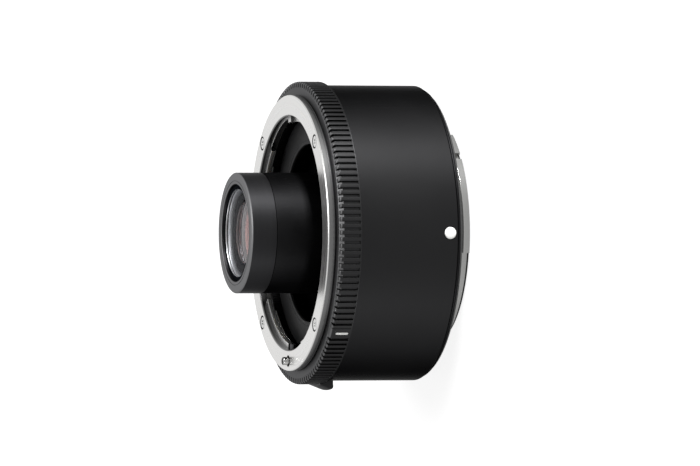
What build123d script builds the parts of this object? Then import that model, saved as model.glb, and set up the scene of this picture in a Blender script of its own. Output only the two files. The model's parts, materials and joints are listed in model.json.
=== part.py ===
# Camera teleconverter, in millimetres.
# The origin is the centre of the camera-side flange and +Z runs along the optical axis towards the lens.
# Angles are counted from +X, anticlockwise seen from the lens side. +X is the top when it is on a camera.
from build123d import *
from math import atan2, cos, degrees, radians, sin, sqrt
import os

# Overall form
flange_distance = 32.0      # camera-side flange to lens-side flange
throat_radius = 27.85       # inside of the lens-side mount ring, which the other large radii follow
seat_gap = 0.05             # radial gap where one fixed piece slips into another
running_gap = 0.05          # radial gap round a sliding pin
overrun = 1.0               # how far a cutter runs past the face it cuts
full_turn = 360.0

# Bayonet, the same on both sides, so that the lugs of one pass the gaps of the other
lock_turn = 40.9            # degrees from where a lens goes in to where it locks
female_lug_angles = ((21.0, 98.0), (132.0, 192.0), (217.0, 262.0), (284.0, 306.0))
male_lug_angles = ((-10.0, 40.0), (44.0, 59.0), (140.4, 171.4), (234.4, 256.4))
latch_angle = 270.0         # lock pin and release lever
fixing_offset = 2.55        # throat to the circle of the screws and the lock pin
fixing_radius = throat_radius + fixing_offset

# Lens-side mount ring
mount_width = 4.9           # throat to the edge of the flange
mount_radius = throat_radius + mount_width
mount_thickness = 3.0
mount_rim_thickness = 1.7
mount_neck_step = 0.4       # edge of the flange to the neck below its rim
mount_neck_radius = mount_radius - mount_neck_step
mount_edge_chamfer = 0.25
lug_reach = 1.35            # throat to the inner edge of a lug
lug_inner_radius = throat_radius - lug_reach
lug_drop = 1.2              # from the flange face to the front of a lug
lug_thickness = 1.2

# Leaf springs behind the lugs, let into the back of the ring
leaf_thickness = 0.3
leaf_set_back = 0.4         # inner edge of a lug to the inner edge of its leaf
leaf_inner_radius = lug_inner_radius + leaf_set_back
leaf_seat_width = 1.15      # how far a leaf reaches under the ring
leaf_outer_radius = throat_radius + leaf_seat_width
leaf_angles = ((38.0, 80.0), (144.0, 180.0), (224.0, 255.0))
leaf_end_angle = 0.5        # degrees of room at each end of a leaf

# Mount screws, the same on both sides, with few sides because they are small
screw_angles = (45.0, 135.0, 225.0, 315.0)
screw_head_radius = 1.45
screw_head_height = 0.65
screw_shank_radius = 0.8
screw_length = 6.5
screw_gap = 0.02
head_sides = 12
shank_sides = 6

# Bayonet stop pin, set radially in the mount ring
stop_pin_angle = 266.0
stop_pin_radius = 0.7
stop_pin_seat_depth = 1.2
stop_pin_reach = 1.4

# Grip ring
grip_overhang = 3.25        # edge of the flange to the crown of the ribs
grip_radius = mount_radius + grip_overhang
grip_lip_drop = 2.1         # from the flange face to the lip
grip_chamfer_width = 0.9    # outer edge of the flat lip to the crown of the ribs
grip_lip_radius = grip_radius - grip_chamfer_width
grip_chamfer_height = 0.9
grip_depth = 7.3            # from the flange face to the rear edge
rib_count = 142
rib_phase_angle = 0.17
groove_width = 0.62
groove_floor_width = 0.42
groove_depth = 0.4
mark_pad_half_angle = 2.6

# Marks
line_mark_length = 3.05
line_mark_width = 0.65
line_mark_drop = 5.0        # from the flange face to the middle of the line
mark_depth = 0.4
mark_proud = 0.12
dot_mark_radius = 1.4
dot_mark_height = 2.8       # from the camera-side flange to the middle of the dot
dot_mark_dome = 0.3         # how far the middle of the dot rises above its edge

# Main barrel sleeve
barrel_step = 0.85          # crown of the ribs to the barrel
barrel_radius = grip_radius - barrel_step
barrel_wall = 1.2
barrel_edge_chamfer = 0.3
rear_band_thickness = 0.5
rear_band_step = 0.55       # barrel to the thin rear band
rear_band_radius = barrel_radius - rear_band_step
rear_band_drop = 0.1        # camera-side flange to the rear face of the rear band
gasket_step = 0.4           # rear band to the gasket
gasket_radius = rear_band_radius - gasket_step
gasket_overhang = 0.5       # how far the gasket reaches past the camera-side flange

# Chassis and light shield
throat_floor_drop = 10.0    # lens-side flange to the floor of the throat
web_thickness = 3.0
recess_step = 1.45          # throat to the wall of the recess below the light shield
recess_radius = throat_radius - recess_step
rear_bore_step = 0.35       # throat to the wall round the rear cell
rear_bore_radius = throat_radius - rear_bore_step
shield_drop = 5.0           # lens-side flange to the light shield
shield_thickness = 0.8
shield_width = 6.65         # throat to the opening of the light shield
shield_opening_radius = throat_radius - shield_width

# Front lens barrel and front ring
front_reach = 13.1          # from the lens-side flange to the front rim
front_ring_length = 6.2
front_barrel_radius = 14.33
front_spigot_step = 0.93    # barrel to its spigot in the chassis
front_spigot_radius = front_barrel_radius - front_spigot_step
front_face_width = 2.73
front_bore_radius = front_barrel_radius - front_face_width
front_step_drop = 0.7       # front rim to the face of the retaining ring
front_step_width = 0.9      # face of the retaining ring
front_step_radius = front_bore_radius - front_step_width
front_bevel_width = 0.3     # bevel of the retaining ring
front_aperture_radius = front_step_radius - front_bevel_width
front_spigot_wall = 2.4
front_glass_radius = front_spigot_radius - front_spigot_wall
barrel_ledge_width = 0.8
barrel_ledge_radius = front_glass_radius - barrel_ledge_width
barrel_ledge_thickness = 1.2

# Glass of the front groups: edge thicknesses and surface radii, minus for a hollow one
front_rim_to_glass = 1.2
front_element_edge = 5.7
front_element_curves = (60.0, -26.0)
pair_joint_share = 0.52     # of the pair's length, from its front to its joint
triplet_edges = (2.6, 2.2, 3.2)
glass_gap = 0.02            # between a retaining ring's edge and the glass it holds

# Rear lens cell and its glass
cell_flange_width = 1.6     # front barrel's spigot to the outside of the cell
cell_radius = front_spigot_radius + cell_flange_width
cell_wall = 2.0
rear_glass_radius = cell_radius - cell_wall
cell_clearance = 1.4        # floor of the rear shroud to the rear of the cell
cell_throat_length = 3.0
rear_stack_shares = (0.27, 0.385, 0.255)    # of the room in the cell: fourth group, spacer, rear element
rear_element_curve = 42.0
spacer_wall = 1.0
retainer_wall = 1.2

# Camera-side mount ring
camera_flange_step = 2.15   # barrel to the edge of the flange
camera_flange_radius = barrel_radius - camera_flange_step
camera_flange_thickness = 1.6
bayonet_gap = 0.2           # spigot to the inner edges of the lugs that it passes
spigot_radius = lug_inner_radius - bayonet_gap
spigot_wall = 1.3
spigot_bore_radius = spigot_radius - spigot_wall
male_lug_reach = 0.9
male_lug_radius = spigot_radius + male_lug_reach
male_lug_drop = 3.0         # camera-side flange to the front of a lug
male_lug_thickness = 1.6
male_lug_end = male_lug_drop + male_lug_thickness
spigot_end_step = 0.3       # rear of the lugs to the end of the spigot
spigot_length = male_lug_end - spigot_end_step

# Rear shroud
shroud_wall = 1.2
shroud_lip_step = 0.5       # spigot to the lip that covers its end
shroud_lip_radius = spigot_radius - shroud_lip_step
shroud_lip_proud = 0.3      # rear of the lugs to the rear of the lip
shroud_reach = male_lug_end + shroud_lip_proud
shroud_floor_thickness = 0.8
shroud_opening_margin = 1.0 # rear glass to the opening in the floor
shroud_opening_radius = rear_glass_radius + shroud_opening_margin

# Contacts
contact_count = 11
contact_angle = 180.0
contact_pitch_angle = 4.6
contact_circle_inset = 3.85 # throat to the circle of the contacts
contact_circle_radius = throat_radius - contact_circle_inset
contact_block_half_angle = 26.0
contact_block_wall = 1.7    # from the contact circle to each curved side of the block
contact_block_sink = 0.2    # shield face to the top of the block
contact_block_gap = 0.3
contact_pin_radius = 0.42
contact_pin_tip = 0.3
contact_pin_tip_radius = 0.2
contact_pin_proud = 1.2
contact_pin_sides = 8
contact_spring_radius = 0.36
contact_spring_length = 1.8
contact_spring_sides = 6
contact_bore_floor = 0.8
pad_length = 2.2
pad_width = 1.2
pad_thickness = 0.1
rear_block_height = 3.3

# Circuit board and flexible leads
board_thickness = 1.0
board_gap = 0.6
board_angle = 140.0
lead_thickness = 0.2
lead_width = 8.0
lead_inset = 1.0            # inner side of the contact blocks to the leads
lead_slot_gap = 0.2

# Release lever, its slide and the lock pin
lever_half_angle = 8.0
lever_rear_drop = 9.7       # lens-side flange to the rear of the lever
lever_length = 3.3
lever_height = 2.25         # barrel to the top of the lever
lever_top_radius = barrel_radius + lever_height
lever_front_height = 1.15   # barrel to the front edge of the lever
lever_front_radius = barrel_radius + lever_front_height
lever_gap = 0.12
lever_ridges = 3
lever_ridge_depth = 0.25
lever_rear_slope = 0.5
stem_width = 4.0
stem_length = 1.8
stem_inset = 0.3            # rear of the lever to the rear of its stem
slide_width = 7.0
slide_thickness = 1.2
slide_gap = 0.55            # bore of the barrel to the slide
slide_length = 6.3
slide_end_margin = 1.14     # front of the stem to the front end of the slide
slide_arm_thickness = 1.0
slide_arm_inset = 0.3       # front end of the slide to its arm
pocket_gap = 0.1
pocket_floor_gap = 0.2      # collar of the pin to the floor of the pocket
pocket_roof_gap = 0.96      # front end of the slide to the roof of the pocket
pin_radius = 0.95
pin_hole_radius = 1.1
pin_proud = 1.4
pin_sink = 0.2              # how far below the flange face the pulled pin goes
pin_collar_radius = 1.7
pin_collar_thickness = 1.0
pin_collar_sides = 12
pin_tail_length = 5.9
pin_spring_radius = 1.5
pin_spring_wall = 0.4
pin_spring_sides = 8

# Radii, heights and travel that the pieces share
lens_flange = flange_distance
mount_back = lens_flange - mount_thickness
chassis_top = mount_back
grip_lip = lens_flange - grip_lip_drop
grip_rear = lens_flange - grip_depth
throat_floor = lens_flange - throat_floor_drop
web_back = throat_floor - web_thickness
shield_face = lens_flange - shield_drop
shield_back = shield_face - shield_thickness
front_rim = lens_flange + front_reach
front_joint = front_rim - front_ring_length
cell_rear = camera_flange_thickness + cell_clearance
barrel_rear = rear_band_drop + rear_band_thickness
barrel_bore = barrel_radius - barrel_wall
chassis_radius = barrel_bore - 2 * seat_gap
line_mark_angle = -lock_turn
block_inner = contact_circle_radius - contact_block_wall
block_outer = contact_circle_radius + contact_block_wall
rear_block_top = pad_thickness - shroud_reach + rear_block_height
lever_travel = pin_proud + pin_sink
lever_rear = lens_flange - lever_rear_drop
stem_rear = lever_rear + stem_inset
slide_radius = barrel_bore - slide_gap
slide_front = stem_rear + stem_length + slide_end_margin
arm_rear = slide_front - slide_arm_inset - slide_arm_thickness
collar_front = arm_rear - lever_gap
collar_rear = collar_front - pin_collar_thickness
spring_seat = collar_rear - pin_tail_length - lever_travel - lever_gap
pocket_roof = slide_front + pocket_roof_gap
pocket_floor_radius = fixing_radius - pin_collar_radius - pocket_floor_gap


def rod(radius, low, high):
    """A round bar on the Z axis."""
    return Pos(0, 0, low) * Cylinder(radius, high - low, align=(Align.CENTER, Align.CENTER, Align.MIN))


def turned(corners, start=0.0, sweep=full_turn):
    """A solid turned from a closed outline of (radius, height) corners, from one angle through a sweep."""
    with BuildSketch(Plane.XZ) as section:
        with BuildLine():
            Polyline(*corners, close=True)
        make_face()
    return Rot(0, 0, start) * revolve(section.sketch, Axis.Z, sweep)


def band(outer, inner, low, high, start=0.0, sweep=full_turn):
    """A ring, or a stretch of one, of rectangular section."""
    return turned(((inner, low), (outer, low), (outer, high), (inner, high)), start, sweep)


def faceted(sides, low_radius, high_radius, low, high):
    """A straight or tapered bar with flat sides on the Z axis."""
    apothem_share = cos(radians(full_turn / sides / 2))
    taper = degrees(atan2((low_radius - high_radius) * apothem_share, high - low))
    return extrude(Pos(0, 0, low) * RegularPolygon(low_radius, sides), high - low, taper=taper)


def block(x_low, x_high, y_low, y_high, z_low, z_high):
    """A plain block between two corners."""
    size = (x_high - x_low, y_high - y_low, z_high - z_low)
    return Pos(x_low, y_low, z_low) * Box(*size, align=(Align.MIN, Align.MIN, Align.MIN))


def spoke(radius, angle):
    """The place at a radius and an angle, turned to face outwards."""
    return Rot(0, 0, angle) * Pos(radius, 0, 0)


def rise(curve, radius, inner):
    """How far a spherical surface rises from its edge to a smaller radius."""
    return sag(curve, radius) - sag(curve, inner)


def sag(curve, radius):
    """How far a spherical surface rises from its edge to its middle, minus for a hollow one."""
    if curve == 0:
        return 0.0
    depth = abs(curve) - sqrt(curve * curve - radius * radius)
    return depth if curve > 0 else -depth


def glass(radius, low, high, low_curve, high_curve):
    """A round lens element between two edge heights, with a surface radius for each side."""
    low_middle = low - sag(low_curve, radius)
    high_middle = high + sag(high_curve, radius)
    half = radius / 2
    with BuildSketch(Plane.XZ) as section:
        with BuildLine():
            if low_curve:
                ThreePointArc((0, low_middle), (half, low_middle + sag(low_curve, half)), (radius, low))
            else:
                Line((0, low), (radius, low))
            Line((radius, low), (radius, high))
            if high_curve:
                ThreePointArc((radius, high), (half, high_middle - sag(high_curve, half)), (0, high_middle))
            else:
                Line((radius, high), (0, high))
            Line((0, high_middle), (0, low_middle))
        make_face()
    return revolve(section.sketch, Axis.Z, full_turn)


def screw(extra=0.0):
    """A countersunk screw with the face of its head at height 0, or the room for one."""
    head = faceted(head_sides, screw_head_radius + extra, screw_shank_radius + extra, 0, screw_head_height)
    shank = faceted(shank_sides, screw_shank_radius + extra, screw_shank_radius + extra,
                    -screw_length - extra, -screw_head_height)
    head = Rot(180, 0, 0) * head
    return head + shank


def mount_screws(extra=0.0):
    """The four screws of the lens-side mount."""
    return [spoke(fixing_radius, angle) * Pos(0, 0, lens_flange) * screw(extra) for angle in screw_angles]


def camera_screws(extra=0.0):
    """The four screws of the camera-side mount, heads to the rear."""
    return [spoke(fixing_radius, angle) * Rot(180, 0, 0) * screw(extra) for angle in screw_angles]


def stop_pin(extra=0.0):
    """The radial stop pin, from its seat in the ring to its inner end."""
    length = stop_pin_seat_depth + stop_pin_reach
    height = lens_flange - lug_drop - lug_thickness / 2
    place = spoke(throat_radius + stop_pin_seat_depth, stop_pin_angle) * Pos(0, 0, height)
    pin = Rot(0, -90, 0) * Cylinder(stop_pin_radius + extra, length, align=(Align.CENTER, Align.CENTER, Align.MIN))
    return place * pin


def lens_side_mount_ring():
    """The flange ring that a lens turns into, with its inward lugs behind the face."""
    chamfer = mount_edge_chamfer
    ring = turned((
        (throat_radius, mount_back), (mount_neck_radius, mount_back),
        (mount_neck_radius, lens_flange - mount_rim_thickness), (mount_radius, lens_flange - mount_rim_thickness),
        (mount_radius, lens_flange - chamfer), (mount_radius - chamfer, lens_flange),
        (throat_radius, lens_flange),
    ))
    lug_front = lens_flange - lug_drop
    for start, end in female_lug_angles:
        ring += band(throat_radius + chamfer, lug_inner_radius, lug_front - lug_thickness, lug_front,
                     start, end - start)
    pin_hole = spoke(fixing_radius, latch_angle) * rod(pin_hole_radius, mount_back - overrun, lens_flange + overrun)
    ring -= mount_leaf_springs(seat_gap, leaf_end_angle)
    return ring - mount_screws(screw_gap) - pin_hole - stop_pin()


def mount_leaf_springs(extra=0.0, extra_degrees=0.0):
    """The leaf springs that press on the lugs of a mounted lens, or the room for them."""
    return [band(leaf_outer_radius + extra, leaf_inner_radius, mount_back, mount_back + leaf_thickness,
                 start - extra_degrees, end - start + 2 * extra_degrees) for start, end in leaf_angles]


def grip_ring():
    """The ribbed ring: each rib is one flat of a many-sided bar, with a groove at each corner."""
    groove = Polygon(
        (grip_radius - groove_depth, groove_floor_width / 2), (grip_radius - groove_depth, -groove_floor_width / 2),
        (grip_radius + groove_depth, -groove_width + groove_floor_width / 2),
        (grip_radius + groove_depth, groove_width - groove_floor_width / 2), align=None)
    pitch = full_turn / rib_count
    angles = [rib_phase_angle + pitch * i for i in range(rib_count)]
    half_turn = full_turn / 2
    angles = [a for a in angles
              if abs((a - line_mark_angle + half_turn) % full_turn - half_turn) > mark_pad_half_angle]
    flats = RegularPolygon(grip_radius, rib_count, major_radius=False, rotation=rib_phase_angle)
    chamfer_low = grip_lip - grip_chamfer_height
    chamfer_taper = degrees(atan2(grip_radius - grip_lip_radius, grip_chamfer_height))
    envelope = (extrude(Pos(0, 0, grip_rear) * flats, chamfer_low - grip_rear)
                + extrude(Pos(0, 0, chamfer_low) * flats, grip_chamfer_height, taper=chamfer_taper))
    toothed = flats - [Rot(0, 0, angle) * groove for angle in angles]
    ring = envelope & extrude(Pos(0, 0, grip_rear) * toothed, grip_lip - grip_rear)
    ring -= rod(chassis_radius + seat_gap, grip_rear - overrun, chassis_top)
    ring -= rod(mount_neck_radius + seat_gap, grip_rear, grip_lip + overrun)
    lever_front = lever_rear + lever_length
    notch_half = lever_half_angle + lever_gap
    notch = band(grip_radius + overrun, barrel_radius, grip_rear - overrun, lever_front + lever_gap,
                 latch_angle - notch_half, 2 * notch_half)
    return ring - notch - line_mark()


def line_mark():
    """The raised line on the grip ring where the mark of a lens goes."""
    out = Vector(cos(radians(line_mark_angle)), sin(radians(line_mark_angle)), 0)
    base = out * (grip_radius - mark_depth) + Vector(0, 0, lens_flange - line_mark_drop)
    place = Plane(origin=base, x_dir=(0, 0, 1), z_dir=out)
    return extrude(place * Rectangle(line_mark_length, line_mark_width), mark_depth + mark_proud)


def main_barrel():
    """The smooth sleeve behind the grip ring, with a slot for the lever's stem."""
    chamfer = barrel_edge_chamfer
    sleeve = turned((
        (barrel_bore, barrel_rear), (barrel_radius - chamfer, barrel_rear),
        (barrel_radius, barrel_rear + chamfer), (barrel_radius, grip_rear), (barrel_bore, grip_rear),
    ))
    slot_half = stem_width / 2 + lever_gap
    slot = block(-slot_half, slot_half, -barrel_radius - overrun, -barrel_bore + overrun,
                 stem_rear - lever_travel - lever_gap, grip_rear + overrun)
    return sleeve - slot - dot_mark()


def dot_mark():
    """The domed dot on the barrel where the mark of the camera goes."""
    edge = mark_depth + mark_proud
    curve = (dot_mark_radius ** 2 + dot_mark_dome ** 2) / (2 * dot_mark_dome)
    stud = glass(dot_mark_radius, 0, edge, 0, curve)
    return Pos(barrel_radius - mark_depth, 0, dot_mark_height) * Rot(0, 90, 0) * stud


def chassis():
    """The body that carries the rest: throat, web with the lens seats, rear well and latch pocket."""
    flange_seat = camera_flange_thickness
    seat_radius = camera_flange_radius + seat_gap
    body = turned((
        (seat_radius, rear_band_drop), (rear_band_radius, rear_band_drop), (rear_band_radius, barrel_rear),
        (chassis_radius, barrel_rear), (chassis_radius, chassis_top),
        (throat_radius, chassis_top), (throat_radius, shield_back), (recess_radius, shield_back),
        (recess_radius, throat_floor), (front_spigot_radius + seat_gap, throat_floor),
        (front_spigot_radius + seat_gap, web_back), (rear_bore_radius, web_back),
        (rear_bore_radius, flange_seat), (seat_radius, flange_seat),
    ))
    half = slide_width / 2 + pocket_gap
    pocket = block(-half, half, -chassis_radius - overrun, -pocket_floor_radius, spring_seat, pocket_roof)
    guide = spoke(fixing_radius, latch_angle) * rod(pin_radius + running_gap, pocket_roof - overrun,
                                                    chassis_top + overrun)
    lead_x = -block_inner - lead_inset
    lead_half = lead_width / 2 + lead_slot_gap
    lead_slot = block(lead_x - lead_slot_gap, lead_x + lead_thickness + lead_slot_gap, -lead_half, lead_half,
                      web_back - overrun, throat_floor + overrun)
    return body - mount_screws(screw_gap) - camera_screws(screw_gap) - pocket - guide - lead_slot


def light_shield():
    """The flat plate over the recess of the throat, with a window for the contacts."""
    plate = band(throat_radius - seat_gap, shield_opening_radius, shield_back, shield_face)
    half = contact_block_half_angle + contact_block_gap
    window = band(block_outer + contact_block_gap, block_inner - contact_block_gap, shield_back - overrun,
                  shield_face + overrun, contact_angle - half, 2 * half)
    return plate - window


def front_barrel():
    """The tube of the front lens groups, its spigot let into the web and a ledge between the groups."""
    bore = front_glass_radius + seat_gap
    ledge_low = web_back + sum(triplet_edges)
    ledge_high = ledge_low + barrel_ledge_thickness
    return turned((
        (bore, web_back), (front_spigot_radius, web_back), (front_spigot_radius, throat_floor),
        (front_barrel_radius, throat_floor), (front_barrel_radius, front_joint), (bore, front_joint),
        (bore, ledge_high), (barrel_ledge_radius, ledge_high),
        (barrel_ledge_radius, ledge_low), (bore, ledge_low),
    ))


def front_ring():
    """The front end of the lens barrel, which the front element is dropped into."""
    bore = front_glass_radius + seat_gap
    step = front_rim - front_rim_to_glass
    return turned((
        (bore, front_joint), (front_barrel_radius, front_joint),
        (front_barrel_radius, front_rim), (front_bore_radius, front_rim),
        (front_bore_radius, step), (bore, step),
    ))


def front_retaining_ring():
    """The bevelled ring that holds the front element."""
    low = front_rim - front_rim_to_glass + glass_gap
    low += rise(front_element_curves[0], front_glass_radius, front_aperture_radius)
    high = front_rim - front_step_drop
    return turned((
        (front_aperture_radius, low), (front_bore_radius - seat_gap, low),
        (front_bore_radius - seat_gap, high), (front_step_radius, high),
    ))


def front_glass():
    """The elements in the front barrel, stacked from the front ring's step and from the web."""
    radius = front_glass_radius
    first_high = front_rim - front_rim_to_glass
    first_low = first_high - front_element_edge
    front_curve, back_curve = front_element_curves
    pair_low = web_back + sum(triplet_edges) + barrel_ledge_thickness
    joint = first_low - pair_joint_share * (first_low - pair_low)
    first_joint = web_back + triplet_edges[2] + triplet_edges[1]
    second_joint = web_back + triplet_edges[2]
    return {
        "lens_1_front": glass(radius, first_low, first_high, back_curve, front_curve),
        "lens_2_pair_front": rod(radius, joint, first_low),
        "lens_3_pair_rear": rod(radius, pair_low, joint),
        "lens_4_triplet_front": rod(radius, first_joint, first_joint + triplet_edges[0]),
        "lens_5_triplet_middle": rod(radius, second_joint, first_joint),
        "lens_6_triplet_rear": rod(radius, web_back, second_joint),
    }


def rear_lens_cell():
    """The cup behind the web that holds the rear elements."""
    bore = rear_glass_radius + seat_gap
    low = cell_rear
    step = web_back - cell_throat_length
    return turned((
        (bore, low), (cell_radius, low), (cell_radius, web_back), (barrel_ledge_radius, web_back),
        (barrel_ledge_radius, step), (bore, step),
    ))


def rear_glass():
    """The two rear elements with the spacer between them and the retaining ring behind them."""
    radius = rear_glass_radius
    fourth_high = web_back - cell_throat_length
    room = fourth_high - cell_rear
    fourth_share, spacer_share, last_share = rear_stack_shares
    fourth_low = fourth_high - fourth_share * room
    spacer_low = fourth_low - spacer_share * room
    last_low = spacer_low - last_share * room
    retainer_bore = radius - retainer_wall
    retainer_high = last_low - rise(rear_element_curve, radius, retainer_bore) - glass_gap
    return {
        "lens_7_single": rod(radius, fourth_low, fourth_high),
        "rear_spacer": band(radius, radius - spacer_wall, spacer_low, fourth_low),
        "lens_8_rear": glass(radius, last_low, spacer_low, rear_element_curve, 0),
        "rear_retaining_ring": band(radius, retainer_bore, cell_rear, retainer_high),
    }


def camera_side_mount_ring():
    """The flange ring that turns into a camera, with its spigot and outward lugs."""
    ring = turned((
        (spigot_bore_radius, -spigot_length), (spigot_radius, -spigot_length),
        (spigot_radius, 0), (camera_flange_radius, 0),
        (camera_flange_radius, camera_flange_thickness), (spigot_bore_radius, camera_flange_thickness),
    ))
    for start, end in male_lug_angles:
        ring += band(male_lug_radius, shroud_lip_radius + seat_gap, -male_lug_end, -male_lug_drop,
                     start, end - start)
    pin_hole = spoke(fixing_radius, latch_angle) * rod(pin_hole_radius, -overrun, camera_flange_thickness + overrun)
    return ring - camera_screws(screw_gap) - pin_hole


def rear_shroud():
    """The black cup inside the spigot, whose lip covers the spigot's end."""
    outer = spigot_bore_radius - seat_gap
    inner = outer - shroud_wall
    lip_top = -spigot_length
    floor_top = camera_flange_thickness
    floor_low = floor_top - shroud_floor_thickness
    cup = turned((
        (inner, -shroud_reach), (shroud_lip_radius, -shroud_reach), (shroud_lip_radius, lip_top),
        (outer, lip_top), (outer, floor_top), (shroud_opening_radius, floor_top),
        (shroud_opening_radius, floor_low), (inner, floor_low),
    ))
    half = contact_block_half_angle + contact_block_gap
    window = band(block_outer + overrun, block_inner - contact_block_gap, -shroud_reach - overrun,
                  rear_block_top + contact_block_gap, contact_angle - half, 2 * half)
    lead_x = -block_inner - lead_inset
    lead_half = lead_width / 2 + lead_slot_gap
    lead_slot = block(lead_x - lead_slot_gap, lead_x + lead_thickness + lead_slot_gap, -lead_half, lead_half,
                      floor_low - overrun, floor_top + overrun)
    return cup - window - lead_slot


def contact_angles():
    """The angle of each contact."""
    first = contact_angle - contact_pitch_angle * (contact_count - 1) / 2
    return [first + contact_pitch_angle * i for i in range(contact_count)]


def lens_side_contact_block():
    """The insulating block that guides the sprung contact pins."""
    top = shield_face - contact_block_sink
    half = contact_block_half_angle
    body = band(block_outer, block_inner, throat_floor, top, contact_angle - half, 2 * half)
    bore_radius = contact_pin_radius + running_gap
    bore = faceted(contact_pin_sides, bore_radius, bore_radius, throat_floor + contact_bore_floor, top + overrun)
    return body - [spoke(contact_circle_radius, angle) * bore for angle in contact_angles()]


def contact_pin():
    """One sprung contact pin on the Z axis, with its tapered tip up."""
    tip = shield_face - contact_block_sink + contact_pin_proud
    shoulder = tip - contact_pin_tip
    low = throat_floor + contact_bore_floor + contact_spring_length
    body = faceted(contact_pin_sides, contact_pin_radius, contact_pin_radius, low, shoulder)
    return body + faceted(contact_pin_sides, contact_pin_radius, contact_pin_tip_radius, shoulder, tip)


def contact_springs():
    """A plain bar in the space of the coil spring under each contact pin."""
    low = throat_floor + contact_bore_floor
    spring = faceted(contact_spring_sides, contact_spring_radius, contact_spring_radius,
                     low, low + contact_spring_length)
    return [spoke(contact_circle_radius, angle) * spring for angle in contact_angles()]


def camera_side_contact_block():
    """The insulating block that carries the pads for a camera's contacts."""
    outer = spigot_bore_radius - seat_gap
    half = contact_block_half_angle
    return band(outer, block_inner, pad_thickness - shroud_reach, rear_block_top, contact_angle - half, 2 * half)


def contact_pads():
    """The flat pads in the rear face of the camera-side block."""
    low = -shroud_reach
    pad = block(-pad_length / 2, pad_length / 2, -pad_width / 2, pad_width / 2, low, low + pad_thickness)
    middle = (block_inner + spigot_bore_radius - seat_gap) / 2
    return [spoke(middle, angle) * pad for angle in contact_angles()]


def circuit_board():
    """The board behind the web, which curves round the rear cell."""
    inner = cell_radius + board_gap
    outer = rear_bore_radius - board_gap
    return band(outer, inner, web_back - board_thickness, web_back, contact_angle - board_angle / 2, board_angle)


def flexible_leads():
    """The lead from each contact block to the circuit board."""
    x_low = -block_inner - lead_inset
    x_high = x_low + lead_thickness
    half = lead_width / 2
    front = block(x_low, x_high, -half, half, web_back, throat_floor)
    rear = block(x_low, x_high, -half, half, rear_block_top, web_back - board_thickness)
    return {"front_flexible_lead": front, "rear_flexible_lead": rear}


def release_lever():
    """The finger piece with its ridged slope to the front and its steep side to the rear, and its stem."""
    rear = lever_rear
    front = rear + lever_length
    under = barrel_radius + lever_gap
    slope_rear = rear + lever_rear_slope
    step = (front - slope_rear) / lever_ridges
    fall = (lever_top_radius - lever_front_radius) / lever_ridges
    outline = [(under, rear), (lever_top_radius - lever_ridge_depth, rear)]
    for i in range(lever_ridges):
        crest = lever_top_radius - fall * i
        outline.append((crest, slope_rear + step * i))
        outline.append((crest - lever_ridge_depth, slope_rear + step * (i + 1) - lever_ridge_depth))
    outline += [(lever_front_radius, front), (under, front)]
    knob = turned(outline, latch_angle - lever_half_angle, 2 * lever_half_angle)
    stem = block(-stem_width / 2, stem_width / 2, -under - lever_gap, -slide_radius,
                 stem_rear, stem_rear + stem_length)
    return knob + stem


def lever_slide():
    """The plate under the barrel that the lever's stem is fixed to, with the arm that pulls the lock pin."""
    half = slide_width / 2
    plate = block(-half, half, -slide_radius, -slide_radius + slide_thickness, slide_front - slide_length, slide_front)
    arm_end = fixing_radius - pin_collar_radius
    arm = block(-half, half, -slide_radius, -arm_end, arm_rear, arm_rear + slide_arm_thickness)
    fork_half = pin_radius + running_gap
    low, high = arm_rear - overrun, slide_front + overrun
    fork = block(-fork_half, fork_half, -fixing_radius, -arm_end + overrun, low, high)
    hole = spoke(fixing_radius, latch_angle) * rod(fork_half, low, high)
    return plate + arm - fork - hole


def lock_pin():
    """The pin that locks a lens, with the collar that its spring pushes on."""
    pin = rod(pin_radius, collar_rear - pin_tail_length, lens_flange + pin_proud)
    collar = faceted(pin_collar_sides, pin_collar_radius, pin_collar_radius, collar_rear, collar_front)
    return spoke(fixing_radius, latch_angle) * (pin + collar)


def lock_pin_spring():
    """A plain sleeve in the space of the coil spring under the lock pin's collar."""
    outer = faceted(pin_spring_sides, pin_spring_radius, pin_spring_radius, spring_seat, collar_rear)
    bore_radius = pin_spring_radius - pin_spring_wall
    bore = faceted(pin_spring_sides, bore_radius, bore_radius, spring_seat - overrun, collar_rear + overrun)
    return spoke(fixing_radius, latch_angle) * (outer - bore)


def build_nodes():
    """Every piece by its node name."""
    nodes = {
        "lens_side_mount_ring": lens_side_mount_ring(),
        "lens_side_mount_screws": mount_screws(),
        "mount_leaf_springs": mount_leaf_springs(),
        "bayonet_stop_pin": stop_pin(),
        "grip_ring": grip_ring(),
        "lens_mounting_mark": line_mark(),
        "main_barrel": main_barrel(),
        "camera_mounting_mark": dot_mark(),
        "chassis": chassis(),
        "light_shield": light_shield(),
        "front_barrel": front_barrel(),
        "front_ring": front_ring(),
        "front_retaining_ring": front_retaining_ring(),
        "rear_lens_cell": rear_lens_cell(),
        "camera_side_mount_ring": camera_side_mount_ring(),
        "camera_side_mount_screws": camera_screws(),
        "rear_gasket": band(gasket_radius, camera_flange_radius + seat_gap, -gasket_overhang, rear_band_drop),
        "rear_shroud": rear_shroud(),
        "lens_side_contact_block": lens_side_contact_block(),
        "contact_springs": contact_springs(),
        "camera_side_contact_block": camera_side_contact_block(),
        "contact_pads": contact_pads(),
        "circuit_board": circuit_board(),
        "release_lever": release_lever(),
        "lever_slide": lever_slide(),
        "lock_pin": lock_pin(),
        "lock_pin_spring": lock_pin_spring(),
    }
    nodes.update(front_glass())
    nodes.update(rear_glass())
    nodes.update(flexible_leads())
    for number, angle in enumerate(contact_angles(), start=1):
        nodes[f"contact_pin_{number:02d}"] = spoke(contact_circle_radius, angle) * contact_pin()
    return nodes


os.makedirs("parts", exist_ok=True)
for name, shape in build_nodes().items():
    solid = Compound(children=shape) if isinstance(shape, list) else shape
    export_step(solid, f"parts/{name}.step")
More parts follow.
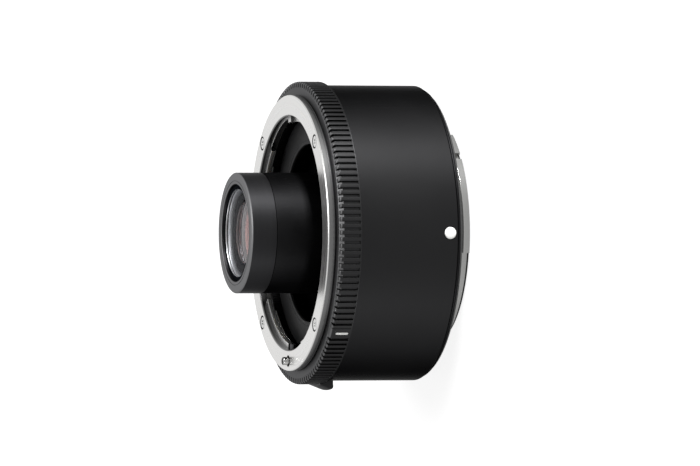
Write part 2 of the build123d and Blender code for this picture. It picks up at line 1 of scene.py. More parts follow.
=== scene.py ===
"""Finished model of a camera teleconverter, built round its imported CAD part.

Sizes are in millimetres until a mesh is made, which is in metres. The origin is the centre of the camera-side
flange, and +Z runs along the optical axis towards the lens. Angles are counted from +X, anticlockwise seen
from the lens side.
"""
import json
import logging
import math
from collections.abc import Iterable, Sequence
from dataclasses import dataclass, replace
from enum import Enum

import bmesh
import bpy
from mathutils import Matrix, Vector


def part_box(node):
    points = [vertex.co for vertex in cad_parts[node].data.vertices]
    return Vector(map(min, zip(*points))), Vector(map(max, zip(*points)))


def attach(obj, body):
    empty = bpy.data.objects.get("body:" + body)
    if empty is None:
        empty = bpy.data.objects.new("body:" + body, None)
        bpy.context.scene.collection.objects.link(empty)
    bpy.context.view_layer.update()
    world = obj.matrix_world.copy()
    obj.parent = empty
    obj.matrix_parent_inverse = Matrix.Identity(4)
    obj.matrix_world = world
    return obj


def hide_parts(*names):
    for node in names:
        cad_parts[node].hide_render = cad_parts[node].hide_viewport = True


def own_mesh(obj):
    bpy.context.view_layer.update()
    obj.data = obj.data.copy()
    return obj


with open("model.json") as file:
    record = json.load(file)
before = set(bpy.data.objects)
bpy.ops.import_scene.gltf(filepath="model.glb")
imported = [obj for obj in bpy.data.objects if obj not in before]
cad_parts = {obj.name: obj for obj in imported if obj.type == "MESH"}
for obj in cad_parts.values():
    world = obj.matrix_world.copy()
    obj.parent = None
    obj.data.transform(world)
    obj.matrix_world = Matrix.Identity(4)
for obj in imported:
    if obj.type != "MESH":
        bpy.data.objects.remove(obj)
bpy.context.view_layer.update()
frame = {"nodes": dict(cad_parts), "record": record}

logging.basicConfig(level=logging.INFO, format="%(message)s")
log = logging.getLogger("teleconverter")

MM = 0.001
FULL_TURN = 360.0
HALF_TURN = 180.0
QUARTER_TURN = 90.0
# How far a cutter runs past a face, in millimetres.
OVERRUN = 1.0
# Points closer than the first are merged and edges shorter than the second go, in metres.
SAME_POINT, NO_LENGTH = 1e-7, 1e-8
# Sections in a full turn, for pieces that turn through a part of it.
FINE = 480
Outline = list[tuple[float, float]]
Colour = tuple[float, float, float]
Span = tuple[float, float]


class Body(Enum):
    """The CAD bodies that pieces ride on."""

    CONVERTER = "converter_body"
    LEVER = "release_lever"
    LOCK_PIN = "lock_pin"


class Slot(Enum):
    """The record's material slots."""

    STEEL = "bright_steel"
    SCREW = "screw_steel"
    SPRING = "spring_steel"
    BARREL = "black_barrel"
    GRIP = "black_grip"
    PLASTIC = "black_plastic"
    ALLOY = "black_alloy"
    GREY = "grey_alloy"
    WHITE = "white_paint"
    RUBBER = "rubber"
    GLASS = "glass"
    GOLD = "gold_contact"
    BOARD = "board_green"
    FILM = "amber_film"


# Meshes


def new_object(mesh: bpy.types.Mesh, name: str = "") -> bpy.types.Object:
    """Links a mesh to the scene.

    Args:
        mesh: the mesh, in metres and in place.
        name: name of the object, where it isn't the mesh's own.

    Returns:
        The object, at the origin.
    """
    name = name or mesh.name
    mesh.name = name
    made = bpy.data.objects.new(name, mesh)
    bpy.context.scene.collection.objects.link(made)
    return made


def released(made: bpy.types.Object) -> bpy.types.Mesh:
    """Takes an object out of the file.

    Args:
        made: the object.

    Returns:
        Its mesh.
    """
    mesh = made.data
    bpy.data.objects.remove(made)
    return mesh


def close(bm: bmesh.types.BMesh, name: str) -> bpy.types.Mesh:
    """Merges doubles, turns the faces outwards and makes the mesh.

    Args:
        bm: the faces, which are freed here.
        name: name of the mesh.

    Returns:
        The mesh.
    """
    bmesh.ops.remove_doubles(bm, verts=bm.verts, dist=SAME_POINT)
    bmesh.ops.dissolve_degenerate(bm, edges=bm.edges, dist=NO_LENGTH)
    bmesh.ops.recalc_face_normals(bm, faces=bm.faces)
    mesh = bpy.data.meshes.new(name)
    bm.to_mesh(mesh)
    bm.free()
    return mesh


def oblong(inner: float, outer: float, low: float, high: float) -> Outline:
    """A section with four corners, between two radii and two heights."""
    return [(inner, low), (outer, low), (outer, high), (inner, high)]


def arc(middle: tuple[float, float], reach: tuple[float, float], steps: int) -> Outline:
    """A quarter of an ellipse, from its radius to its height.

    Args:
        middle: its middle as (radius, height).
        reach: its two half axes, minus for one that points the other way.
        steps: runs along it.

    Returns:
        The points, with both ends.
    """
    turns = [math.radians(QUARTER_TURN * i / steps) for i in range(steps + 1)]
    return [(middle[0] + reach[0] * math.cos(turn), middle[1] + reach[1] * math.sin(turn)) for turn in turns]


def rounded(outline: Outline, radius: float, steps: int = 3, keep: Iterable[int] = ()) -> Outline:
    """Rounds the corners of a closed outline.

    Args:
        outline: corners in order.
        radius: radius of each corner, less where an edge is short.
        steps: runs in each round.
        keep: numbers of the corners that stay sharp.

    Returns:
        The corners of the rounded outline.
    """
    nearly_straight, most_of_edge = math.radians(172), 0.45
    made: Outline = []
    kept = set(keep)
    for i, corner in enumerate(outline):
        here = Vector(corner)
        before, after = Vector(outline[i - 1]) - here, Vector(outline[(i + 1) % len(outline)]) - here
        angle = before.angle(after)
        if i in kept or angle > nearly_straight:
            made.append(corner)
            continue
        reach = min(radius / math.tan(angle / 2), most_of_edge * before.length, most_of_edge * after.length)
        first, last = here + before.normalized() * reach, here + after.normalized() * reach
        for step in range(steps + 1):
            t = step / steps
            point = first * (1 - t) ** 2 + here * (2 * t * (1 - t)) + last * t * t
            made.append((point.x, point.y))
    return made


def lofted(name: str, rings: Sequence[Sequence[Sequence[float]]], around: bool = False) -> bpy.types.Mesh:
    """Skins a row of closed rings of points.

    Args:
        name: name of the mesh.
        rings: rings of as many points each, in metres.
        around: whether the last ring joins the first, where otherwise both ends are capped.

    Returns:
        A closed mesh.
    """
    bm = bmesh.new()
    rows = [[bm.verts.new(point) for point in ring] for ring in rings]
    for a, b in zip(rows, rows[1:] + rows[:1] if around else rows[1:]):
        for j in range(len(a)):
            k = (j + 1) % len(a)
            bm.faces.new((a[j], b[j], b[k], a[k]))
    if not around:
        bm.faces.new(rows[0])
        bm.faces.new(rows[-1])
    return close(bm, name)


def turned(name: str, outline: Outline, start: float = 0.0, sweep: float = FULL_TURN,
           segments: int = 240) -> bpy.types.Mesh:
    """Turns a closed outline of (radius, height) corners about the Z axis.

    Args:
        name: name of the mesh.
        outline: corners in order, in millimetres.
        start: angle of the first section, in degrees.
        sweep: angle turned through, in degrees.
        segments: sections in a full turn.

    Returns:
        A closed mesh.
    """
    whole = sweep >= FULL_TURN
    runs = segments if whole else max(2, round(segments * sweep / FULL_TURN))
    rings = []
    for i in range(runs if whole else runs + 1):
        angle = math.radians(start + sweep * i / runs)
        across, up = math.cos(angle) * MM, math.sin(angle) * MM
        rings.append([(r * across, r * up, z * MM) for r, z in outline])
    return lofted(name, rings, whole)


def drill(name: str, radius: float, floor: float, face: float, bevel: tuple[float, float],
          segments: int = 48) -> bpy.types.Mesh:
    """A cutter for a round hole on the Z axis whose mouth is bevelled.

    Args:
        name: name of the mesh.
        radius: radius of the hole.
        floor: height of its closed end, above or below the face.
        face: height of the face that it opens.
        bevel: width and depth of the bevel.
        segments: sections in a full turn.

    Returns:
        A closed mesh.
    """
    rise = 0.02
    wide, out = radius + bevel[0], math.copysign(1.0, face - floor)
    outline = [(0, floor), (radius, floor), (radius, face - out * bevel[1]), (wide, face + out * rise),
               (wide, face + out * OVERRUN), (0, face + out * OVERRUN)]
    return turned(name, outline, segments=segments)


def box(name: str, low: Sequence[float], high: Sequence[float], bevel: float = 0.0) -> bpy.types.Mesh:
    """A block between two corners, with its edges rounded.

    Args:
        name: name of the mesh.
        low: lowest corner, in millimetres.
        high: highest corner, in millimetres.
        bevel: radius of the edges, in millimetres.

    Returns:
        The mesh.
    """
    bm = bmesh.new()
    size = [h - l for l, h in zip(low, high)]
    middle = [(h + l) / 2 for l, h in zip(low, high)]
    bmesh.ops.create_cube(bm, size=1.0)
    bmesh.ops.scale(bm, vec=[s * MM for s in size], verts=bm.verts)
    bmesh.ops.translate(bm, vec=[m * MM for m in middle], verts=bm.verts)
    if bevel:
        bmesh.ops.bevel(bm, geom=bm.edges[:], offset=bevel * MM, segments=2, profile=0.5, affect="EDGES")
    return close(bm, name)


def coil(name: str, radius: float, wire: float, low: float, high: float, turns: float) -> bpy.types.Mesh:
    """A round-wire spring on the Z axis.

    Args:
        name: name of the mesh.
        radius: radius of the wire's middle line.
        wire: radius of the wire.
        low: height of the lowest point.
        high: height of the highest point.
        turns: number of turns.

    Returns:
        A closed mesh.
    """
    around, sides = 20, 8
    runs = round(turns * around)
    rise = high - low - 2 * wire
    rings = []
    for i in range(runs + 1):
        angle = math.tau * i / around
        out = Vector((math.cos(angle), math.sin(angle), 0))
        middle = out * radius + Vector((0, 0, low + wire + rise * i / runs))
        rings.append([(middle + out * (wire * math.cos(turn)) + Vector((0, 0, wire * math.sin(turn)))) * MM
                      for turn in (math.tau * j / sides for j in range(sides))])
    return lofted(name, rings)


def compressed(made: bpy.types.Object) -> None:
    """Gives a spring its own copy of its mesh.

    Args:
        made: the spring.
    """
    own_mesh(made)


def placed(mesh: bpy.types.Mesh, radius: float = 0.0, angle: float = 0.0, height: float = 0.0,
           tilt: float = 0.0) -> bpy.types.Mesh:
    """Moves a mesh made on the Z axis to a radius, an angle and a height, after a tilt about Y.

    Args:
        mesh: the mesh.
        radius: distance from the optical axis, in millimetres.
        angle: degrees round the axis.
        height: rise along the axis, in millimetres.
        tilt: degrees about Y, so that 90 turns +Z to +X.

    Returns:
        The same mesh.
    """
    place = Matrix.Rotation(math.radians(angle), 4, "Z") @ Matrix.Translation((radius * MM, 0, height * MM))
    mesh.transform(place @ Matrix.Rotation(math.radians(tilt), 4, "Y"))
    return mesh


def baked(made: bpy.types.Object) -> None:
    """Turns an object with modifiers into a plain mesh object.

    Args:
        made: the object, whose modifiers are removed.
    """
    bpy.context.view_layer.update()
    graph = bpy.context.evaluated_depsgraph_get()
    mesh = bpy.data.meshes.new_from_object(made.evaluated_get(graph))
    old = made.data
    made.modifiers.clear()
    made.data = mesh
    mesh.name = made.name
    bpy.data.meshes.remove(old)


def cut(made: bpy.types.Object, tools: Iterable[bpy.types.Mesh]) -> bpy.types.Object:
    """Cuts meshes out of an object.

    Args:
        made: the object that is cut.
        tools: closed meshes, used up here.

    Returns:
        The same object.
    """
    used = [new_object(mesh, f"{made.name}_tool_{i}") for i, mesh in enumerate(tools)]
    for tool in used:
        modifier = made.modifiers.new(tool.name, "BOOLEAN")
        modifier.operation, modifier.solver, modifier.object = "DIFFERENCE", "EXACT", tool
    baked(made)
    for tool in used:
        bpy.data.objects.remove(tool)
    return made


def joined(made: bpy.types.Object, others: Iterable[bpy.types.Mesh]) -> bpy.types.Object:
    """Adds closed shells to an object's mesh.

    Args:
        made: the object that grows.
        others: meshes, used up here.

    Returns:
        The same object.
    """
    bm = bmesh.new()
    bm.from_mesh(made.data)
    for mesh in others:
        bm.from_mesh(mesh)
        bpy.data.meshes.remove(mesh)
    bm.to_mesh(made.data)
    bm.free()
    return made


def smoothed(made: bpy.types.Object, sharp: float) -> None:
    """Shades an object smooth, with flat faces kept flat and corners past an angle kept sharp.

    Args:
        made: the object.
        sharp: degrees between two faces past which their edge is sharp.
    """
    made.data.polygons.foreach_set("use_smooth", [True] * len(made.data.polygons))
    made.data.set_sharp_from_angle(angle=math.radians(sharp))
    modifier = made.modifiers.new("flat_faces", "WEIGHTED_NORMAL")
    modifier.keep_sharp, modifier.weight = True, 80
    baked(made)


# Nodes


@dataclass(frozen=True)
class Graph:
    """A node tree that is being built."""

    tree: bpy.types.NodeTree

    def feed(self, value: object, target: bpy.types.NodeSocket) -> None:
        """Links a socket to an input, or sets the input to a plain value.

        Args:
            value: a socket, a number, or a colour of three numbers.
            target: the input.
        """
        if isinstance(value, bpy.types.NodeSocket):
            self.tree.links.new(value, target)
        else:
            target.default_value = (*value, 1.0) if target.type == "RGBA" else value

    def feed_all(self, node: bpy.types.Node, values: dict[str | int, object]) -> None:
        """Feeds several inputs of a node, by name or number."""
        for label, value in values.items():
            self.feed(value, node.inputs[label])

    def node(self, kind: str, values: dict[str | int, object] | None = None,
             **settings: object) -> bpy.types.Node:
        """Adds a node.

        Args:
            kind: type of the node.
            values: what its inputs are fed, by name or number.
            settings: its properties.

        Returns:
            The node.
        """
        made = self.tree.nodes.new(kind)
        for label, value in settings.items():
            setattr(made, label, value)
        self.feed_all(made, values or {})
        return made

    def maths(self, operation: str, first: object, second: object = 0.0) -> bpy.types.NodeSocket:
        """The result of a sum on two sockets or numbers."""
        return self.node("ShaderNodeMath", {0: first, 1: second}, operation=operation).outputs[0]

    def mix(self, factor: object, first: object, second: object) -> bpy.types.NodeSocket:
        """A colour between two colours."""
        made = self.node("ShaderNodeMix", {"Factor": factor, "A": first, "B": second}, data_type="RGBA")
        return made.outputs["Result"]

    def mix_shader(self, factor: object, first: bpy.types.Node, second: bpy.types.Node) -> bpy.types.Node:
        """A shader between two shaders."""
        return self.node("ShaderNodeMixShader", {"Fac": factor, 1: first.outputs[0], 2: second.outputs[0]})


@dataclass(frozen=True)
class RingArray:
    """Copies of one piece at even steps round the optical axis, added to the mesh that carries them.

    A copy whose angle falls within one of two gaps is left out.
    """

    count: int
    start: float = 0.0
    step: float = 0.0
    gap_angle: float = 0.0
    gap_half: float = -1.0
    second_gap_angle: float = 0.0
    second_gap_half: float = -1.0

    def values(self) -> dict[str, float]:
        """The numbers that go into the tree.

        Returns:
            Each number by the name of its input.
        """
        return {"Count": self.count, "Start": self.start, "Step": self.step, "Gap Angle": self.gap_angle,
                "Gap Half": self.gap_half, "Second Gap Angle": self.second_gap_angle,
                "Second Gap Half": self.second_gap_half}

    def tree(self) -> bpy.types.NodeTree:
        """The node tree, built the first time that it is asked for.

        Returns:
            The tree.
        """
        name = "ring_array"
        if name in bpy.data.node_groups:
            return bpy.data.node_groups[name]
        tree = bpy.data.node_groups.new(name, "GeometryNodeTree")
        kinds = {"Geometry": "Geometry", "Piece": "Object", "Material": "Material"}
        kinds |= {label: "Int" if label == "Count" else "Float" for label in self.values()}
        for label, kind in kinds.items():
            tree.interface.new_socket(label, in_out="INPUT", socket_type=f"NodeSocket{kind}")
        tree.interface.new_socket("Geometry", in_out="OUTPUT", socket_type="NodeSocketGeometry")
        graph = Graph(tree)
        entry = graph.node("NodeGroupInput").outputs
        number = graph.node("GeometryNodeInputIndex").outputs[0]
        angle = graph.maths("ADD", entry["Start"], graph.maths("MULTIPLY", number, entry["Step"]))
        kept = None
        for label in ("Gap", "Second Gap"):
            offset = graph.maths("ADD", graph.maths("SUBTRACT", angle, entry[f"{label} Angle"]), HALF_TURN)
            wrapped = graph.maths("SUBTRACT", graph.maths("FLOORED_MODULO", offset, FULL_TURN), HALF_TURN)
            outside = graph.maths("GREATER_THAN", graph.maths("ABSOLUTE", wrapped), entry[f"{label} Half"])
            kept = outside if kept is None else graph.maths("MULTIPLY", kept, outside)
        row = {"Count": entry["Count"], "Offset": (0, 0, 0)}
        points = graph.node("GeometryNodeMeshLine", row, mode="OFFSET")
        turn = graph.node("ShaderNodeCombineXYZ", {"Z": graph.maths("RADIANS", angle)})
        rotation = graph.node("FunctionNodeEulerToRotation", {0: turn.outputs[0]})
        piece = graph.node("GeometryNodeObjectInfo", {"Object": entry["Piece"]})
        copies = graph.node("GeometryNodeInstanceOnPoints", {
            "Points": points.outputs[0], "Selection": kept, "Instance": piece.outputs["Geometry"],
            "Rotation": rotation.outputs[0]})
        both = graph.node("GeometryNodeJoinGeometry", {0: entry["Geometry"]})
        graph.feed(copies.outputs[0], both.inputs[0])
        plain = graph.node("GeometryNodeRealizeInstances", {0: both.outputs[0]})
        dressed = graph.node("GeometryNodeSetMaterial", {
            "Geometry": plain.outputs[0], "Material": entry["Material"]})
        graph.node("NodeGroupOutput", {0: dressed.outputs[0]})
        return tree

    def grow(self, name: str, piece: bpy.types.Mesh, material: bpy.types.Material,
             base: bpy.types.Mesh | None = None) -> bpy.types.Object:
        """Sets the copies round the axis.

        Args:
            name: name of the finished object.
            piece: the mesh that is copied, in its place at angle 0.
            material: material of the whole mesh.
            base: the mesh that carries the copies, if it belongs to the same piece.

        Returns:
            An object with a plain mesh.
        """
        made = new_object(base or bpy.data.meshes.new(name), name)
        source = new_object(piece, f"{name}_source")
        modifier = made.modifiers.new("copies", "NODES")
        modifier.node_group = self.tree()
        values = self.values() | {"Piece": source, "Material": material}
        for item in modifier.node_group.interface.items_tree:
            if item.in_out == "INPUT" and item.name in values:
                modifier[item.identifier] = values[item.name]
        baked(made)
        bpy.data.objects.remove(source)
        return made


# Effects that several materials use


class Effects:
    """Shader node groups with named inputs and outputs, each built once."""

    @staticmethod
    def group(name: str, inputs: dict[str, float],
              outputs: Sequence[str]) -> tuple[bpy.types.NodeTree, Graph | None]:
        """Finds or starts a group.

        Args:
            name: name of the group.
            inputs: name and default of each number that goes in.
            outputs: name of each number that comes out.

        Returns:
            The group, and its graph if it still has to be filled.
        """
        if name in bpy.data.node_groups:
            return bpy.data.node_groups[name], None
        tree = bpy.data.node_groups.new(name, "ShaderNodeTree")
        for label, value in inputs.items():
            socket = tree.interface.new_socket(label, in_out="INPUT", socket_type="NodeSocketFloat")
            socket.default_value = value
        for label in outputs:
            tree.interface.new_socket(label, in_out="OUTPUT", socket_type="NodeSocketFloat")
        return tree, Graph(tree)

    @staticmethod
    def noises(graph: Graph, place: bpy.types.NodeSocket, kinds: dict[str, tuple[str, float]]) -> None:
        """Fills a group with a noise for each of its outputs.

        Args:
            graph: the group's graph.
            place: the coordinates that the noises read.
            kinds: for each output, the input that holds the scale, and the detail.
        """
        entry = graph.node("NodeGroupInput").outputs
        made = {}
        for output, (scale, detail) in kinds.items():
            values = {"Vector": place, "Scale": entry[scale], "Detail": detail}
            made[output] = graph.node("ShaderNodeTexNoise", values).outputs["Fac"]
        graph.node("NodeGroupOutput", made)

    @staticmethod
    def mask(graph: Graph, measure: bpy.types.NodeSocket, output: str) -> None:
        """Fills a group with a mask that rises as a measure goes from Low to High.

        Args:
            graph: the group's graph.
            measure: the measure.
            output: name of the group's output.
        """
        entry = graph.node("NodeGroupInput").outputs
        values = {"Value": measure, "From Min": entry["Low"], "From Max": entry["High"]}
        graph.node("NodeGroupOutput", {output: graph.node("ShaderNodeMapRange", values).outputs["Result"]})

    @staticmethod
    def axis_parts(graph: Graph) -> tuple[bpy.types.NodeSocket, bpy.types.NodeSocket]:
        """Where a point of the surface lies round the optical axis.

        Args:
            graph: the group's graph.

        Returns:
            The way from the axis to the point, and its height.
        """
        place = graph.node("ShaderNodeTexCoord").outputs["Object"]
        parts = graph.node("ShaderNodeSeparateXYZ", {0: place}).outputs
        return graph.node("ShaderNodeCombineXYZ", {"X": parts["X"], "Y": parts["Y"]}).outputs[0], parts["Z"]

    @classmethod
    def grain(cls) -> bpy.types.NodeTree:
        """Fine grain of a sprayed or blasted surface, with a slow unevenness for its gloss.

        Returns:
            The group.
        """
        tree, graph = cls.group("surface_grain", {"Grain Scale": 6000.0, "Patch Scale": 60.0},
                                ("Grain", "Patches"))
        if graph:
            place = graph.node("ShaderNodeTexCoord").outputs["Object"]
            cls.noises(graph, place, {"Grain": ("Grain Scale", 3.0), "Patches": ("Patch Scale", 4.0)})
        return tree

    @classmethod
    def turning(cls) -> bpy.types.NodeTree:
        """Fine rings that a lathe leaves round the optical axis, with broader streaks among them.

        Returns:
            The group.
        """
        tree, graph = cls.group("turning_marks", {"Rings Per Metre": 9000.0, "Streak Scale": 900.0},
                                ("Rings", "Streaks"))
        if graph:
            outward, height = cls.axis_parts(graph)
            radius = graph.node("ShaderNodeVectorMath", {0: outward}, operation="LENGTH").outputs["Value"]
            section = graph.node("ShaderNodeCombineXYZ", {"X": radius, "Y": height}).outputs[0]
            cls.noises(graph, section, {"Rings": ("Rings Per Metre", 2.0), "Streaks": ("Streak Scale", 5.0)})
        return tree

    @classmethod
    def bore_light_and_shade_mask(cls) -> bpy.types.NodeTree:
        """A mask of the faces that look at the optical axis, such as the wall of a bore, where finishes paint
        light or shade.

        Returns:
            The group.
        """
        tree, graph = cls.group("bore_surfaces", {"Low": 0.3, "High": 0.8}, ("Bore",))
        if graph:
            outward = cls.axis_parts(graph)[0]
            unit = graph.node("ShaderNodeVectorMath", {0: outward}, operation="NORMALIZE").outputs["Vector"]
            normal = graph.node("ShaderNodeTexCoord").outputs["Normal"]
            turned_out = graph.node("ShaderNodeVectorMath", {0: unit, 1: normal}, operation="DOT_PRODUCT")
            cls.mask(graph, graph.maths("MULTIPLY", turned_out.outputs["Value"], -1.0), "Bore")
        return tree

    @classmethod
    def front_light_mask(cls) -> bpy.types.NodeTree:
        """A mask of the faces that look along the optical axis to the front, where finishes paint light.

        Returns:
            The group.
        """
        tree, graph = cls.group("faced_surfaces", {"Low": 0.35, "High": 0.8}, ("Front",))
        if graph:
            normal = graph.node("ShaderNodeTexCoord").outputs["Normal"]
            cls.mask(graph, graph.node("ShaderNodeSeparateXYZ", {0: normal}).outputs["Z"], "Front")
        return tree


@dataclass(frozen=True)
class Surface:
    """A material that is made the first time that it is asked for."""

    name: str

    def build(self) -> bpy.types.Material:
        """Makes the material.

        Returns:
            The material, made once for each name.
        """
        if self.name in bpy.data.materials:
            return bpy.data.materials[self.name]
        material = bpy.data.materials.new(self.name)
        material.use_nodes = True
        self.fill(Graph(material.node_tree), material.node_tree.nodes["Principled BSDF"])
        return material

    def fill(self, graph: Graph, shader: bpy.types.Node) -> None:
        """Builds the nodes round the Principled shader."""
        raise NotImplementedError


@dataclass(frozen=True)
class Finish(Surface):
    """A finish made of one shader, whose colour, gloss and relief vary over the surface.

    A metal's edge is its colour where it is seen at a flat angle; below white, it paints shade over the
    reflections at the rims. Faces that look to the front and faces that look at the optical axis may take
    another colour, which paints light or shade on them.
    """

    colour: Colour
    second_colour: Colour
    roughness: Span
    metallic: float = 0.0
    specular: float = 0.5
    # An edge colour below white paints shade over the reflection seen at flat angles.
    edge: Colour = (1.0, 1.0, 1.0)
    relief: float = 0.004
    grain_scale: float = 6000.0
    patch_scale: float = 60.0
    lathe: bool = False
    rings: float = 9000.0
    # A face or bore colour paints light or shade on the faces that look to the front or at the axis.
    face: Colour | None = None
    front_light_turn: Span = (0.35, 0.8)
    bore: Colour | None = None
    bore_light_and_shade_turn: Span = (0.3, 0.8)
    uneven: Span = (0.3, 0.7)

    def fill(self, graph: Graph, shader: bpy.types.Node) -> None:
        """Builds the nodes round the Principled shader.

        Args:
            graph: the material's graph.
            shader: its Principled shader.
        """
        if self.lathe:
            marks, scales = Effects.turning(), {"Rings Per Metre": self.rings}
        else:
            marks = Effects.grain()
            scales = {"Grain Scale": self.grain_scale, "Patch Scale": self.patch_scale}
        effect = graph.node("ShaderNodeGroup", scales, node_tree=marks)
        fine, slow = effect.outputs[0], effect.outputs[1]
        colour = graph.mix(slow, self.colour, self.second_colour)
        # Faces that look to the front or at the axis take other colours here, which paint light or shade.
        for other, mask, (low, high) in ((self.face, Effects.front_light_mask, self.front_light_turn),
                                         (self.bore, Effects.bore_light_and_shade_mask, self.bore_light_and_shade_turn)):
            if other:
                shown = graph.node("ShaderNodeGroup", {"Low": low, "High": high}, node_tree=mask())
                colour = graph.mix(shown.outputs[0], colour, other)
        gloss = graph.node("ShaderNodeMapRange", {
            "Value": slow, "From Min": self.uneven[0], "From Max": self.uneven[1],
            "To Min": self.roughness[0], "To Max": self.roughness[1]})
        bump = graph.node("ShaderNodeBump", {"Strength": 1.0, "Distance": self.relief * MM, "Height": fine})
        graph.feed_all(shader, {
            "Base Color": colour, "Metallic": self.metallic, "Roughness": gloss.outputs["Result"],
            "Specular IOR Level": self.specular, "Specular Tint": self.edge,
            "Normal": bump.outputs["Normal"]})


@dataclass(frozen=True)
class GlassFinish(Surface):
    """Coated lens glass: clear, with a tint that turns with the viewing angle."""

    tint: Colour
    edge_tint: Colour
    ior: float = 1.5
    specular: float = 0.5
    coating: Colour = (1.0, 1.0, 1.0)
    coated: float = 0.4
    gloss: Span = (0.01, 0.04)
    through_roughness: float = 0.02
    patch_scale: float = 90.0
    edge_blend: float = 0.4

    def fill(self, graph: Graph, shader: bpy.types.Node) -> None:
        """Mixes the Principled glass with plain refraction, and lets light through to what is behind.

        Args:
            graph: the material's graph.
            shader: its Principled shader.
        """
        effect = graph.node("ShaderNodeGroup", {"Patch Scale": self.patch_scale}, node_tree=Effects.grain())
        gloss = graph.node("ShaderNodeMapRange", {
            "Value": effect.outputs["Patches"], "To Min": self.gloss[0], "To Max": self.gloss[1]})
        facing = graph.node("ShaderNodeLayerWeight", {"Blend": self.edge_blend}).outputs["Facing"]
        graph.feed_all(shader, {
            "Base Color": graph.mix(facing, self.tint, self.edge_tint), "Transmission Weight": 1.0,
            "IOR": self.ior, "Roughness": gloss.outputs["Result"], "Specular IOR Level": self.specular,
            "Specular Tint": self.coating})
        through = graph.node("ShaderNodeBsdfRefraction", {
            "IOR": self.ior, "Roughness": self.through_roughness, "Color": self.tint})
        clear = graph.node("ShaderNodeBsdfTransparent", {"Color": self.tint})
        shadow = graph.node("ShaderNodeLightPath").outputs["Is Shadow Ray"]
        seen = graph.mix_shader(shadow, graph.mix_shader(self.coated, shader, through), clear)
        graph.feed(seen.outputs[0], graph.tree.nodes["Material Output"].inputs["Surface"])


# Edge colours below white on these finishes paint shade over the reflections at their rims.
FINISHES: dict[Slot, Surface] = {
    # Turned steel: its face colour is the steel's own bright tone; the dark colours on its sides and bore
    # paint shade.
    Slot.STEEL: Finish("turned_steel", (0.13, 0.13, 0.13), (0.10, 0.10, 0.10), (0.22, 0.34), 1.0,
                       relief=0.0015, lathe=True, face=(0.68, 0.675, 0.665), bore=(0.08, 0.08, 0.08)),
    Slot.SCREW: Finish("screw_steel", (0.66, 0.65, 0.63), (0.55, 0.54, 0.52), (0.22, 0.36), 1.0, relief=0.002,
                       grain_scale=9000.0, patch_scale=500.0),
    Slot.SPRING: Finish("spring_steel", (0.34, 0.34, 0.33), (0.27, 0.27, 0.26), (0.28, 0.42), 1.0,
                        relief=0.001, patch_scale=400.0),
    Slot.BARREL: Finish("barrel_paint", (0.0145, 0.0145, 0.015), (0.017, 0.017, 0.0175), (0.40, 0.44), 1.0,
                        edge=(0.3, 0.3, 0.3), relief=0.0020, grain_scale=7000.0),
    # Its face colour paints light on the faces that look to the front, on the ring and on the lever that
    # shares this finish.
    Slot.GRIP: Finish("grip_paint", (0.018, 0.018, 0.0185), (0.024, 0.024, 0.0245), (0.40, 0.46), 1.0,
                      edge=(0.4, 0.4, 0.4), relief=0.0025, grain_scale=7000.0, patch_scale=120.0,
                      face=(0.14, 0.14, 0.143)),
    Slot.PLASTIC: Finish("moulded_plastic", (0.012, 0.012, 0.0125), (0.018, 0.018, 0.0185), (0.46, 0.58),
                         specular=0.14, relief=0.006, grain_scale=3500.0, patch_scale=150.0),
    Slot.ALLOY: Finish("anodised_black", (0.0085, 0.0085, 0.009), (0.011, 0.011, 0.0115), (0.42, 0.50), 1.0,
                       edge=(0.1, 0.1, 0.1), relief=0.003, grain_scale=9000.0, patch_scale=200.0),
    # Its face colour paints light on the front face of the grey ring.
    Slot.GREY: Finish("anodised_grey", (0.016, 0.016, 0.017), (0.020, 0.020, 0.021), (0.40, 0.46), 1.0,
                      edge=(0.5, 0.5, 0.5), relief=0.002, lathe=True, rings=7000.0, face=(0.20, 0.20, 0.205)),
    Slot.WHITE: Finish("mark_paint", (0.86, 0.86, 0.84), (0.78, 0.78, 0.76), (0.30, 0.40), relief=0.004,
                       grain_scale=4000.0, patch_scale=600.0),
    Slot.RUBBER: Finish("rubber", (0.012, 0.012, 0.012), (0.020, 0.020, 0.020), (0.62, 0.74), specular=0.35,
                        relief=0.01, grain_scale=3000.0, patch_scale=300.0),
    Slot.GOLD: Finish("gold_plate", (0.86, 0.62, 0.27), (0.78, 0.54, 0.22), (0.16, 0.28), 1.0, relief=0.001,
                      patch_scale=900.0),
    Slot.BOARD: Finish("solder_mask", (0.015, 0.11, 0.05), (0.02, 0.15, 0.07), (0.25, 0.35), relief=0.01,
                       patch_scale=500.0),
    Slot.FILM: Finish("film", (0.40, 0.19, 0.04), (0.46, 0.23, 0.06), (0.22, 0.32), relief=0.002),
    Slot.GLASS: GlassFinish("lens_glass", (0.82, 0.85, 0.92), (0.60, 0.64, 0.74)),
}
# A copy of the steel in one tone darker than its bright face, which paints shade on the camera-side flange.
SHADED_REAR_STEEL = Finish("turned_steel_rear", (0.30, 0.30, 0.295), (0.24, 0.24, 0.235), (0.20, 0.30), 1.0,
                    relief=0.0015, lathe=True)
# A copy of the steel for the lugs: its bright bore colour paints light on their inner faces, and its face
# colour, dimmer than the ring's, paints shade on their fronts.
LIT_LUG_STEEL = replace(FINISHES[Slot.STEEL], name="turned_steel_lugs", face=(0.52, 0.515, 0.51),
                    bore=(0.70, 0.70, 0.69))
DARK_STEEL = Finish("blued_steel", (0.06, 0.06, 0.062), (0.045, 0.045, 0.047), (0.30, 0.40), 1.0,
                    relief=0.001)
# A darker copy of the steel for the lock pin, with a black edge colour: paints shade on the pin and along its
# sides.
SHADED_PIN_STEEL = Finish("pin_steel", (0.40, 0.40, 0.395), (0.34, 0.34, 0.335), (0.10, 0.14), 1.0,
                   edge=(0.0, 0.0, 0.0), relief=0.0003)
